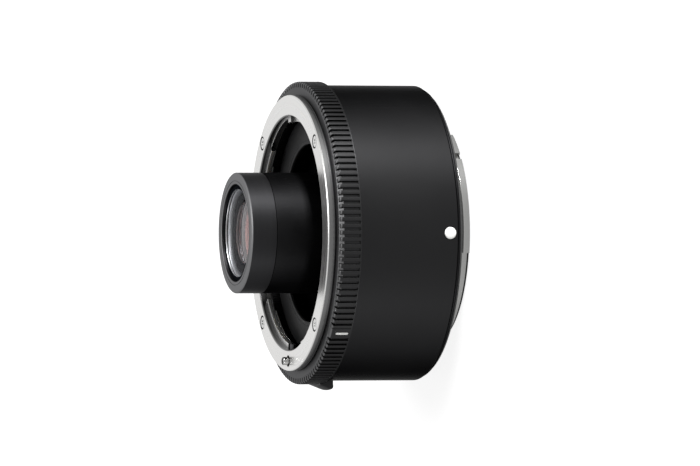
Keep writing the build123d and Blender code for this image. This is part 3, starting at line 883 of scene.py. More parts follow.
# For the bezel and the dish behind the front glass: the bright bore colour paints a highlight on their faces
# that look at the axis.
LIT_DISH = Finish("bezel_dish", (0.016, 0.018, 0.021), (0.024, 0.026, 0.030), (0.44, 0.50), 1.0,
              edge=(0.25, 0.26, 0.28), relief=0.0005, bore=(0.60, 0.61, 0.62), bore_light_and_shade_turn=(0.25, 1.0))
OUTER_GLASS = GlassFinish("lens_glass_outer", (0.98, 0.98, 0.99), (0.96, 0.97, 0.98), coated=0.92)
SECOND_GLASS = GlassFinish("lens_glass_front", (0.92, 0.42, 0.36), (0.90, 0.40, 0.34), specular=1.0,
                           coating=(1.0, 0.70, 0.58), coated=0.0)
INNER_GLASS = GlassFinish("lens_glass_rose", (0.90, 0.52, 0.42), (0.95, 0.66, 0.54), specular=1.0,
                          coating=(1.0, 0.50, 0.38), coated=0.0)
INNER_LENSES = ("lens_2_pair_front", "lens_3_pair_rear")


def finished(made: bpy.types.Object, slot: Slot, nodes: Sequence[str], body: str = Body.CONVERTER.value,
             sharp: float = 40.0, finish: Surface | None = None) -> None:
    """Dresses a piece, hides the CAD nodes that it stands for and sets it on its body.

    Args:
        made: the piece, a plain mesh in place.
        slot: the record's slot that its finish comes from.
        nodes: CAD nodes that it stands for.
        body: CAD body that it moves with.
        sharp: degrees past which an edge is sharp.
        finish: its finish, where the slot's own is not meant.
    """
    smoothed(made, sharp)
    made.data.materials.clear()
    made.data.materials.append((finish or FINISHES[slot]).build())
    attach(made, body)
    if nodes:
        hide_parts(*nodes)
    log.info("%s: %d faces, for %s", made.name, len(made.data.polygons), ", ".join(nodes) or "itself")


def dress_cad_nodes() -> None:
    """Gives every CAD node the finish of its slot, for those that stay in view."""
    slots = {part["node"]: Slot(part["material_slot"]) for part in frame["record"]["subparts"]}
    for name, node in frame["nodes"].items():
        material = (INNER_GLASS if name in INNER_LENSES else FINISHES[slots[name]]).build()
        node.data.materials.clear()
        node.data.materials.append(material)


# Sizes and pieces that both mounts share

SCREW_ANGLES = (45.0, 135.0, 225.0, 315.0)
LATCH_ANGLE = 270.0
FIXING_RADIUS = 30.4
WINDOW_START, WINDOW_SWEEP = 153.7, 52.6
LEAD_INNER, LEAD_OUTER, LEAD_HALF = 22.9, 23.5, 4.2


def lugs(name: str, spans: Sequence[Span], outline: Outline, ease: float = 0.07) -> list[bpy.types.Mesh]:
    """Bayonet lugs, one for each span of angles.

    Args:
        name: name of the meshes.
        spans: first and last angle of each lug, in degrees.
        outline: section of a lug as (radius, height) corners.
        ease: radius of its long edges.

    Returns:
        A closed mesh for each lug.
    """
    section = rounded(outline, ease)
    return [turned(name, section, start, end - start, FINE) for start, end in spans]


def contact_window(inner: float, outer: float, low: float, high: float) -> bpy.types.Mesh:
    """A cutter for the window that a contact block shows through."""
    return turned("window", oblong(inner, outer, low, high), WINDOW_START, WINDOW_SWEEP)


def lead_slot(low: float, high: float) -> bpy.types.Mesh:
    """A cutter for the slot that a flexible lead runs through, between two heights."""
    return box("lead", (-LEAD_OUTER, -LEAD_HALF, low), (-LEAD_INNER, LEAD_HALF, high))


@dataclass
class CountersunkScrew:
    """A countersunk screw with a cross recess, its head's face just under height 0 and its shank below."""

    head_radius: float = 1.42
    head_height: float = 0.65
    head_taper: float = 0.04
    edge: float = 0.09
    sunk: float = 0.08
    shank_radius: float = 0.8
    length: float = 3.0
    recess_width: float = 0.42
    recess_reach: float = 0.85
    recess_depth: float = 0.55
    recess_edge: float = 0.06
    dimple_radius: float = 0.5
    dimple_depth: float = 0.62
    dimple_rim: float = 0.05
    sink_depth: float = 0.25
    seat_inner: float = 1.47
    seat_outer: float = 1.70
    seat_play: float = 0.01
    seat_rim: float = 0.03
    seat_wall: float = 0.3
    seat_depth: float = 0.23
    seat_floor: float = 0.12
    segments: int = 48

    def mesh(self) -> bpy.types.Mesh:
        """Makes the screw.

        Returns:
            A closed mesh on the Z axis.
        """
        shank = self.shank_radius
        outline = [(0, -self.length), (shank, -self.length), (shank, -self.head_height),
                   (self.head_radius - self.head_taper, -self.sunk - self.edge),
                   (self.head_radius - self.edge, -self.sunk), (0, -self.sunk)]
        screw = new_object(turned("screw", outline, segments=40))
        half, reach = self.recess_width / 2, self.recess_reach
        arm_low, arm_high = (-reach, -half, -self.recess_depth), (reach, half, OVERRUN)
        cut(screw, [placed(box("arm", arm_low, arm_high, self.recess_edge), angle=turn)
                    for turn in (0.0, QUARTER_TURN)])
        dimple = [(0, -self.dimple_depth), (self.dimple_radius, -self.dimple_rim),
                  (self.dimple_radius, OVERRUN), (0, OVERRUN)]
        return released(cut(screw, [turned("dimple", dimple, segments=24)]))

    def sink(self, height: float, down: bool = True) -> bpy.types.Mesh:
        """A cutter for the hole that takes a screw and the black ring round it.

        Args:
            height: height of the face that the screw is sunk in.
            down: whether its shank points to -Z.

        Returns:
            A closed mesh.
        """
        floor = -self.head_height - self.sink_depth
        mesh = turned("sink", oblong(0, self.seat_outer, floor, OVERRUN), segments=self.segments)
        mesh.transform(Matrix.Rotation(0.0 if down else math.pi, 4, "X"))
        return placed(mesh, height=height)

    def seat(self) -> bpy.types.Mesh:
        """A black ring round a head, which paints the shade in its countersink.

        Returns:
            A closed mesh, its rim just under height 0.
        """
        base, wall = -self.head_height - self.seat_depth, self.seat_outer - self.seat_play
        floor = base + self.seat_floor
        outline = [(0, base), (wall, base), (wall, -self.seat_rim), (self.seat_inner, -self.seat_rim),
                   (self.seat_inner, -self.seat_wall), (self.head_radius - self.seat_wall, floor), (0, floor)]
        return turned("seat", outline, segments=self.segments)


def screw_set(name: str, nodes: Sequence[str], height: float, down: bool) -> None:
    """Four screws round the optical axis, each with a black ring that paints the shade in its countersink.

    Args:
        name: start of the pieces' names.
        nodes: CAD nodes that the screws stand for.
        height: height of the face that they are sunk in.
        down: whether the shanks point to -Z.
    """
    screw = CountersunkScrew()
    array = RingArray(len(SCREW_ANGLES), 0.0, FULL_TURN / len(SCREW_ANGLES))
    # Each screw gets a black ring in its countersink, which paints the shade there.
    for part, mesh, slot in (("screws", screw.mesh(), Slot.SCREW), ("screw_seats", screw.seat(), Slot.ALLOY)):
        mesh.transform(Matrix.Rotation(0.0 if down else math.pi, 4, "X"))
        mesh = placed(placed(mesh, FIXING_RADIUS, 0.0, height), angle=SCREW_ANGLES[0])
        made = array.grow(f"{name}_{part}", mesh, FINISHES[slot].build())
        finished(made, slot, nodes if slot is Slot.SCREW else (), sharp=30)


# Sub-assemblies


@dataclass
class LensSideMount:
    """The bright ring that a lens turns into, with its lugs, screws, springs and stop stud."""

    flange: float = 32.0
    radius: float = 32.75
    throat: float = 27.85
    thickness: float = 3.0
    rim: float = 1.7
    neck: float = 32.35
    chamfer: float = 0.25
    ease: float = 0.05
    lug_inner: float = 26.5
    lug_root: float = 0.3
    lug_drop: float = 1.2
    lug_thickness: float = 1.2
    lug_spans: tuple[Span, ...] = ((132.0, 192.0), (217.0, 262.0), (284.0, 306.0))
    low_lug_span: Span = (21.0, 93.5)
    low_lug_front: float = 30.05
    lug_end_span: Span = (93.5, 98.0)
    ledge_span: Span = (98.0, 132.0)
    ledge_low: float = 30.5
    ledge_high: float = 30.72
    ledge_root: float = 0.2
    ledge_reach: float = 0.3
    spring_spans: tuple[Span, ...] = ((38.0, 80.0), (144.0, 180.0), (224.0, 255.0))
    spring_inner: float = 26.9
    spring_outer: float = 29.0
    spring_thickness: float = 0.3
    spring_ease: float = 0.06
    pin_hole: float = 1.36
    pin_hole_bevel: tuple[float, float] = (0.06, 0.04)
    bush_bore: float = 1.0
    bush_length: float = 1.5
    bush_sunk: float = 0.03
    bush_play: float = 0.01
    bush_ease: float = 0.03
    shade_band_width: float = 0.04
    shade_band_height: float = 0.7
    stud_angle: float = 266.0
    stud_radius: float = 0.7
    stud_length: float = 2.6
    stud_root: float = 1.2
    stud_ease: float = 0.12

    def ring(self) -> None:
        """Makes the ring with its countersinks and pin hole."""
        back, top, edge = self.flange - self.thickness, self.flange, self.chamfer
        outline = rounded([
            (self.throat, back), (self.neck, back), (self.neck, top - self.rim),
            (self.radius, top - self.rim), (self.radius, top - edge), (self.radius - edge, top),
            (self.throat + edge, top), (self.throat, top - edge),
        ], self.ease, 2)
        ring = new_object(turned("mount_flange", outline, segments=300))
        screw = CountersunkScrew()
        cutters = [placed(screw.sink(top), FIXING_RADIUS, angle) for angle in SCREW_ANGLES]
        hole = drill("hole", self.pin_hole, back - OVERRUN, top, self.pin_hole_bevel)
        cut(ring, [*cutters, placed(hole, FIXING_RADIUS, LATCH_ANGLE)])
        finished(ring, Slot.STEEL, ["lens_side_mount_ring"], sharp=50)

    def lug_set(self) -> None:
        """Makes the lugs inside the ring: three high ones, a low one with a raised end, and a thin ledge."""
        front = self.flange - self.lug_drop
        section = oblong(self.lug_inner, self.throat + self.lug_root, front - self.lug_thickness, front)
        low = [(r, min(z, self.low_lug_front)) for r, z in section]
        ledge = oblong(self.throat - self.ledge_reach, self.throat + self.ledge_root, self.ledge_low,
                       self.ledge_high)
        made = new_object(bpy.data.meshes.new("mount_lugs"))
        joined(made, lugs("lug", (*self.lug_spans, self.lug_end_span), section))
        joined(made, lugs("low_lug", (self.low_lug_span,), low))
        joined(made, lugs("ledge", (self.ledge_span,), ledge, self.ease))
        finished(made, Slot.STEEL, (), sharp=50, finish=LIT_LUG_STEEL)

    def bush(self) -> None:
        """Makes the black bush that the lock pin comes through, and a black band of painted shade under the
        rim.
        """
        play = self.bush_play
        section = oblong(self.bush_bore, self.pin_hole - play, self.flange - self.bush_length,
                         self.flange - self.bush_sunk)
        mesh = placed(turned("pin_bush", rounded(section, self.bush_ease, 2), segments=48), FIXING_RADIUS,
                      LATCH_ANGLE)
        # A thin black band round the ring's neck paints the shade under its rim.
        under = self.flange - self.rim
        seam = oblong(self.neck, self.neck + self.shade_band_width, under - self.shade_band_height, under - play)
        made = joined(new_object(mesh), [turned("seam", rounded(seam, play, 1))])
        finished(made, Slot.ALLOY, ())

    def springs(self) -> None:
        """Makes the leaf springs behind the lugs."""
        back = self.flange - self.thickness
        outline = rounded(oblong(self.spring_inner, self.spring_outer, back, back + self.spring_thickness),
                          self.spring_ease, 2)
        made = new_object(bpy.data.meshes.new("leaf_springs"))
        joined(made, [turned("leaf", outline, start, end - start, FINE) for start, end in self.spring_spans])
        finished(made, Slot.SPRING, ["mount_leaf_springs"])

    def stud(self) -> None:
        """Makes the round stud that stops the lens's lug."""
        outline = rounded(oblong(0, self.stud_radius, 0, self.stud_length), self.stud_ease, 3, (0, 3))
        mesh = placed(turned("stop_stud", outline, segments=40), tilt=-QUARTER_TURN)
        height = self.flange - self.lug_drop - self.lug_thickness / 2
        made = new_object(placed(mesh, self.throat + self.stud_root, self.stud_angle, height))
        finished(made, Slot.SPRING, ["bayonet_stop_pin"], finish=DARK_STEEL)

    def build(self) -> None:
        """Makes every piece of the mount."""
        self.ring()
        self.lug_set()
        self.bush()
        self.springs()
        self.stud()
        screw_set("mount", ["lens_side_mount_screws"], self.flange, True)


@dataclass
class GripRing:
    """The ribbed ring round the mount, with the raised line for the lens's mark."""

    radius: float = 36.0
    floor: float = 35.50
    lip: float = 29.9
    lip_radius: float = 35.6
    core_lip: float = 34.5
    bevel: float = 0.9
    bevel_lead: float = 0.1
    rear: float = 24.7
    rim: float = 0.28
    bore: float = 33.9
    neck_bore: float = 32.4
    shelf: float = 29.0
    ease: float = 0.06
    count: int = 142
    phase: float = 0.17
    land: float = 0.84
    foot: float = 0.98
    shoulder: tuple[float, float] = (0.10, 0.03)
    crest: tuple[float, float] = (0.02, 0.05)
    root: float = 0.25
    tail: tuple[float, float] = (0.05, 0.08)
    nose: float = 0.55
    nose_turn: tuple[float, float] = (0.08, 0.3)
    lip_gap: float = 0.1
    rib_start: float = 0.1
    mark_angle: float = -40.9
    pad_half: float = 2.6
    pad_inset: float = 0.35
    pad_root: float = 0.3
    pad_back: float = 1.0
    pad_sunk: float = 0.03
    notch_half: float = 8.12
    notch_top: float = 25.72
    notch_inner: float = 35.2
    notch_outer: float = 38.0
    notch_ribs: float = 0.9
    notch_gap: float = 0.02
    mark_length: float = 3.05
    mark_width: float = 0.65
    mark_height: float = 27.0
    mark_proud: float = 0.12
    mark_root: float = 0.4
    mark_ease: float = 0.06

    def crown(self, low: float) -> Outline:
        """The line along the top of a rib.

        Args:
            low: height of its rear end.

        Returns:
            Its points as (radius, height), up to the lip.
        """
        return [(self.radius - self.tail[0], low), (self.radius, low + self.tail[1]),
                (self.radius, self.lip - self.nose),
                (self.radius - self.nose_turn[0], self.lip - self.nose_turn[1]),
                (self.lip_radius, self.lip - self.lip_gap)]

    def foot_radius(self, height: float) -> float:
        """The radius that a rib reaches down to, just inside the ring that carries it.

        Args:
            height: height along the rib.

        Returns:
            The radius.
        """
        start = self.lip - self.bevel - self.bevel_lead
        fall = (self.floor - self.core_lip) / (self.lip - start)
        return self.floor - self.root - max(0.0, height - start) * fall

    def rib(self, low: float) -> bpy.types.Mesh:
        """One rib at angle 0, rounded along its two upper edges.

        Args:
            low: height of its rear end.

        Returns:
            A closed mesh.
        """
        half = self.land / 2
        rings = []
        for radius, height in self.crown(low):
            side = [(self.foot_radius(height), self.foot / 2),
                    (radius - self.shoulder[0], half + self.shoulder[1]),
                    (radius - self.crest[0], half - self.crest[1])]
            section = [(r, -w) for r, w in side] + [(r, w) for r, w in reversed(side)]
            rings.append([(r * MM, w * MM, height * MM) for r, w in section])
        return lofted("rib", rings)

    def core(self) -> bpy.types.Mesh:
        """The ring under the ribs, with the notch for the lever and the smooth pad.

        Returns:
            Closed shells in one mesh.
        """
        ledge = self.rear + self.rim
        outline = rounded([
            (self.bore, self.rear), (self.radius, self.rear), (self.radius, ledge), (self.floor, ledge),
            (self.floor, self.lip - self.bevel - self.bevel_lead), (self.core_lip, self.lip),
            (self.neck_bore, self.lip), (self.neck_bore, self.shelf), (self.bore, self.shelf),
        ], self.ease, 2)
        core = new_object(turned("grip_core", outline, segments=284))
        notch = oblong(self.notch_inner, self.notch_outer, self.rear - OVERRUN, self.notch_top)
        cut(core, [turned("notch", notch, LATCH_ANGLE - self.notch_half, 2 * self.notch_half)])
        start, root = self.rear + self.rib_start, self.floor - self.pad_root
        pad = [(root, start), *self.crown(start), (self.core_lip - self.pad_root, self.lip - self.pad_sunk),
               (root, self.lip - self.pad_back)]
        half = self.pad_half - self.pad_inset
        return released(joined(core, [turned("pad", pad, self.mark_angle - half, 2 * half)]))

    def ring(self) -> None:
        """Makes the ring with its ribs, which are shorter at the notch and left out at the pad."""
        step = FULL_TURN / self.count
        angles = [self.phase + step * i for i in range(self.count)]
        near_notch = self.notch_half + self.notch_ribs
        short = [angle for angle in angles if abs(angle - LATCH_ANGLE) <= near_notch]
        material = FINISHES[Slot.GRIP].build()
        array = RingArray(self.count, self.phase, step, self.mark_angle, self.pad_half, LATCH_ANGLE,
                          near_notch)
        rib = self.rib(self.rear + self.rib_start)
        made = array.grow("grip_ring_long_ribs", rib, material, self.core())
        array, rib = RingArray(len(short), short[0], step), self.rib(self.notch_top + self.notch_gap)
        made = array.grow("grip_ring_ribbed", rib, material, released(made))
        finished(made, Slot.GRIP, ["grip_ring"], sharp=50)

    def line(self) -> None:
        """Makes the raised white line with round ends."""
        half, width, sides = self.mark_length / 2, self.mark_width / 2, 32
        # Tips the two points at the sides to the upper end.
        upper_end = 1e-9
        rings = []
        for lift, inset in ((-self.mark_root, 0.0), (self.mark_proud - self.mark_ease, 0.0),
                            (self.mark_proud, self.mark_ease)):
            ring = []
            for i in range(sides):
                angle = math.radians(FULL_TURN * i / sides)
                across, up = math.cos(angle), math.sin(angle)
                along = up * (width - inset) + math.copysign(half - width, up + upper_end)
                ring.append(((self.radius + lift) * MM, across * (width - inset) * MM,
                             (self.mark_height + along) * MM))
            rings.append(ring)
        mesh = placed(lofted("lens_mark_line", rings), angle=self.mark_angle)
        finished(new_object(mesh), Slot.WHITE, ["lens_mounting_mark"])

    def build(self) -> None:
        """Makes every piece of the ring."""
        self.ring()
        self.line()


@dataclass
class Barrel:
    """The smooth black sleeve, its white dot, and the gasket behind it."""

    radius: float = 35.15
    bore: float = 33.95
    low: float = 0.74
    high: float = 24.7
    edge: float = 0.3
    ease: float = 0.08
    slot_half: float = 2.12
    slot_low: float = 20.88
    dot_radius: float = 1.4
    dot_height: float = 2.8
    dot_wall: float = 0.04
    dot_dome: float = 0.38
    dot_root: float = 0.4
    dot_gap: float = 0.1
    dot_sunk: float = 0.25
    gasket_inner: float = 33.05
    gasket_outer: float = 34.2
    gasket_top: float = 0.1
    gasket_low: float = -0.12
    gasket_edge: float = -0.22
    lip_outer: float = 33.95
    lip_inner: float = 33.6
    lip_root: float = 33.45
    lip_low: float = -0.5
    gasket_ease: float = 0.05

    def sleeve(self) -> None:
        """Makes the sleeve, with the slot for the lever's stem and the seat of the dot."""
        outline = rounded([
            (self.bore, self.low), (self.radius - self.edge, self.low), (self.radius, self.low + self.edge),
            (self.radius, self.high), (self.bore, self.high),
        ], self.ease, 3)
        made = new_object(turned("barrel_sleeve", outline, segments=300))
        slot = box("slot", (-self.slot_half, -self.radius - OVERRUN, self.slot_low),
                   (self.slot_half, -self.bore + OVERRUN, self.high + OVERRUN))
        section = oblong(0, self.dot_radius + self.dot_gap, -self.dot_sunk, OVERRUN)
        seat = placed(turned("seat", section, segments=48), tilt=QUARTER_TURN)
        cut(made, [slot, placed(seat, self.radius, 0.0, self.dot_height)])
        finished(made, Slot.BARREL, ["main_barrel"], sharp=50)

    def dot(self) -> None:
        """Makes the domed white dot."""
        outline = [(0, -self.dot_root), (self.dot_radius, -self.dot_root)]
        outline += arc((0, self.dot_wall), (self.dot_radius, self.dot_dome), 8)
        mesh = placed(turned("camera_mark_dot", outline, segments=48), tilt=QUARTER_TURN)
        made = new_object(placed(mesh, self.radius, 0.0, self.dot_height))
        finished(made, Slot.WHITE, ["camera_mounting_mark"])

    def gasket(self) -> None:
        """Makes the rubber gasket round the camera-side flange, with a thin lip."""
        outline = rounded([
            (self.gasket_inner, self.gasket_top), (self.gasket_outer, self.gasket_top),
            (self.gasket_outer, self.gasket_edge), (self.lip_outer, self.lip_low),
            (self.lip_inner, self.lip_low), (self.lip_root, self.gasket_low),
            (self.gasket_inner, self.gasket_low),
        ], self.gasket_ease, 2)
        finished(new_object(turned("gasket_lip", outline)), Slot.RUBBER, ["rear_gasket"])

    def build(self) -> None:
        """Makes every piece of the barrel."""
        self.sleeve()
        self.dot()
        self.gasket()


@dataclass
class Throat:
    """The body inside the mount: its wall, its floor and the light shield."""

    wall: float = 27.85
    recess: float = 26.4
    floor: float = 22.0
    web: float = 19.0
    tube_seat: float = 13.45
    top: float = 29.0
    skin: float = 33.85
    band_radius: float = 34.6
    band_inner: float = 33.05
    band_low: float = 0.1
    band_high: float = 0.6
    cavity: float = 27.5
    cavity_low: float = 1.6
    ease: float = 0.06
    pocket_half: float = 3.6
    pocket_inner: float = 28.5
    pocket_outer: float = 36.0
    pocket_low: float = 15.5
    pocket_high: float = 26.5
    guide_radius: float = 1.0
    guide_low: float = 25.5
    guide_high: float = 30.0
    lead_low: float = 18.0
    lead_high: float = 23.0
    shield: float = 27.0
    shield_back: float = 26.2
    shield_bore: float = 21.2
    shield_radius: float = 27.8
    shield_step: float = 22.1
    shield_slope: float = 0.15
    shield_ease: float = 0.05
    window_inner: float = 22.0
    window_outer: float = 26.0
    window_low: float = 25.0
    window_high: float = 28.0
    ridges: int = 360
    ridge_depth: float = 0.14
    ridge_root: float = 0.2
    ridge_half: float = 0.13
    ridge_gap: float = 0.15
    ridge_ease: float = 0.04
    ridge_skip: float = 0.1

    def body(self) -> None:
        """Makes the chassis, with its latch pocket, pin guide and finely ridged throat wall."""
        outline = rounded([
            (self.band_inner, self.band_low), (self.band_radius, self.band_low),
            (self.band_radius, self.band_high), (self.skin, self.band_high), (self.skin, self.top),
            (self.wall, self.top), (self.wall, self.shield_back), (self.recess, self.shield_back),
            (self.recess, self.floor), (self.tube_seat, self.floor),
            (self.tube_seat, self.web), (self.cavity, self.web), (self.cavity, self.cavity_low),
            (self.band_inner, self.cavity_low),
        ], self.ease, 2)
        core = new_object(turned("chassis_core", outline))
        pocket = box("pocket", (-self.pocket_half, -self.pocket_outer, self.pocket_low),
                     (self.pocket_half, -self.pocket_inner, self.pocket_high))
        guide = turned("guide", oblong(0, self.guide_radius, self.guide_low, self.guide_high), segments=32)
        cut(core, [pocket, placed(guide, FIXING_RADIUS, LATCH_ANGLE),
                   lead_slot(self.lead_low, self.lead_high)])
        ridge = box("ridge", (self.wall - self.ridge_depth, -self.ridge_half, self.shield + self.ridge_gap),
                    (self.wall + self.ridge_root, self.ridge_half, self.top - self.ridge_gap),
                    self.ridge_ease)
        array = RingArray(self.ridges, 0.0, FULL_TURN / self.ridges, LATCH_ANGLE, self.ridge_skip)
        made = array.grow("chassis_body", ridge, FINISHES[Slot.ALLOY].build(), released(core))
        finished(made, Slot.ALLOY, ["chassis"], sharp=50)

    def shield_plate(self) -> None:
        """Makes the light shield, with a lowered inner lip and the window for the contacts."""
        low, slope = self.shield - self.shield_slope, self.shield_step - self.shield_slope
        outline = rounded([
            (self.shield_bore, self.shield_back), (self.shield_radius, self.shield_back),
            (self.shield_radius, self.shield), (self.shield_step, self.shield), (slope, low),
            (self.shield_bore, low),
        ], self.shield_ease, 2)
        made = new_object(turned("shield_plate", outline))
        cut(made, [contact_window(self.window_inner, self.window_outer, self.window_low, self.window_high)])
        finished(made, Slot.PLASTIC, ["light_shield"])

    def build(self) -> None:
        """Makes every piece of the throat."""
        self.body()
        self.shield_plate()


def lens_outline(radius: float, low: float, high: float, low_curve: float, high_curve: float) -> Outline:
    """The section of a lens element.

    Args:
        radius: radius of its edge.
        low: height of its rear edge.
        high: height of its front edge.
        low_curve: radius of the rear surface, minus for a hollow one and 0 for a flat one.
        high_curve: radius of the front surface, in the same way.

    Returns:
        The closed outline as (radius, height) corners.
    """
    steps = 16

    def sag(curve: float, r: float) -> float:
        """How far a surface falls from its middle to a radius."""
        return math.copysign(abs(curve) - math.sqrt(curve * curve - r * r), curve) if curve else 0.0

    rows = [radius * i / steps for i in range(steps + 1)]
    rear = [(r, low - sag(low_curve, radius) + sag(low_curve, r)) for r in rows]
    front = [(r, high + sag(high_curve, radius) - sag(high_curve, r)) for r in reversed(rows)]
    return rear + front


def lens(name: str, outline: Outline, nodes: Sequence[str], finish: Surface | None = None) -> None:
    """Makes a glass element.

    Args:
        name: name of the piece.
        outline: its section.
        nodes: CAD nodes that it stands for.
        finish: its finish, where the slot's own is not meant.
    """
    finished(new_object(turned(name, outline, segments=160)), Slot.GLASS, nodes, sharp=30, finish=finish)


@dataclass
class FrontTube:
    """The lens barrel that stands out of the throat, with its ring, bezel and glass."""

    radius: float = 14.33
    spigot: float = 13.4
    spigot_low: float = 19.0
    shoulder: float = 22.0
    bore: float = 11.05
    baffle_bore: float = 10.2
    baffle_low: float = 27.0
    baffle_high: float = 28.2
    joint: float = 38.9
    seam: float = 0.06
    tube_ease: float = 0.07
    rim: float = 45.1
    rim_bevel: float = 0.28
    mouth_bevel: float = 0.1
    ease: float = 0.05
    groove: float = 12.35
    groove_half: float = 0.09
    groove_depth: float = 0.1
    face_bore: float = 11.6
    step: float = 43.9
    bezel_low: float = 0.13
    bezel_high: float = 44.4
    aperture: float = 10.4
    dish_radius: float = 10.6
    dish_depth: float = 1.0
    dish_gap: float = 0.02
    dish_edge: float = 0.14
    dish_back: float = 0.55
    window: float = 7.15
    dome: float = 60.0
    glass_thickness: float = 0.35
    glass_radius: float = 11.0
    second_low: float = 38.2
    second_drop: float = 0.77
    second_curve: float = -26.0

    def tube(self) -> None:
        """Makes the rear part of the barrel."""
        end = self.joint - self.seam
        outline = rounded([
            (self.bore, self.spigot_low), (self.spigot, self.spigot_low), (self.spigot, self.shoulder),
            (self.radius, self.shoulder), (self.radius, end), (self.bore, end), (self.bore, self.baffle_high),
            (self.baffle_bore, self.baffle_high), (self.baffle_bore, self.baffle_low),
            (self.bore, self.baffle_low),
        ], self.tube_ease, 3)
        finished(new_object(turned("front_tube", outline)), Slot.ALLOY, ["front_barrel"])

    def ring(self) -> None:
        """Makes the grey front ring, with a fine groove in its face and a bevel at its rim."""
        start, floor, half = self.joint + self.seam, self.rim - self.groove_depth, self.groove_half
        outline = rounded([
            (self.bore, start), (self.radius, start), (self.radius, self.rim - self.rim_bevel),
            (self.radius - self.rim_bevel, self.rim), (self.groove + half, self.rim),
            (self.groove + half / 2, floor), (self.groove - half / 2, floor), (self.groove - half, self.rim),
            (self.face_bore + self.mouth_bevel, self.rim), (self.face_bore, self.rim - self.mouth_bevel),
            (self.face_bore, self.step), (self.bore, self.step),
        ], self.ease, 3, (4, 5, 6, 7))
        made = new_object(turned("front_rim_ring", outline, segments=300))
        finished(made, Slot.GREY, ["front_ring"], sharp=50)

    def bezel(self) -> None:
        """Makes the retaining ring in front of the glass."""
        section = oblong(self.aperture, self.face_bore - self.ease, self.step + self.bezel_low,
                         self.bezel_high)
        made = new_object(turned("front_bezel", rounded(section, self.ease, 2)))
        finished(made, Slot.ALLOY, ["front_retaining_ring"], finish=LIT_DISH)

    def dish(self) -> None:
        """Makes the hollowed seat behind the front glass, down to the element behind it."""
        lip = self.step - self.glass_thickness - self.dish_gap
        floor = lip - self.dish_depth
        outline = [(self.window, floor - self.dish_edge), (self.glass_radius, floor - self.dish_back),
                   (self.glass_radius, lip)]
        outline += arc((self.window, lip), (self.dish_radius - self.window, -self.dish_depth), 24)
        finished(new_object(turned("front_dish", outline)), Slot.ALLOY, (), finish=LIT_DISH)

    def glasses(self) -> None:
        """Makes the domed front glass, and the one behind the seat, whose coating looks rose."""
        back = self.step - self.glass_thickness
        outer = lens_outline(self.glass_radius, back, self.step, self.glass_thickness - self.dome, self.dome)
        lens("front_lens", outer, ["lens_1_front"], OUTER_GLASS)
        top = back - self.dish_depth - self.second_drop
        second = lens_outline(self.glass_radius, self.second_low, top, self.second_curve, self.dome)
        lens("front_lens_rear", second, (), SECOND_GLASS)

    def build(self) -> None:
        """Makes every piece of the barrel."""
        self.tube()
        self.ring()
        self.bezel()
        self.dish()
        self.glasses()


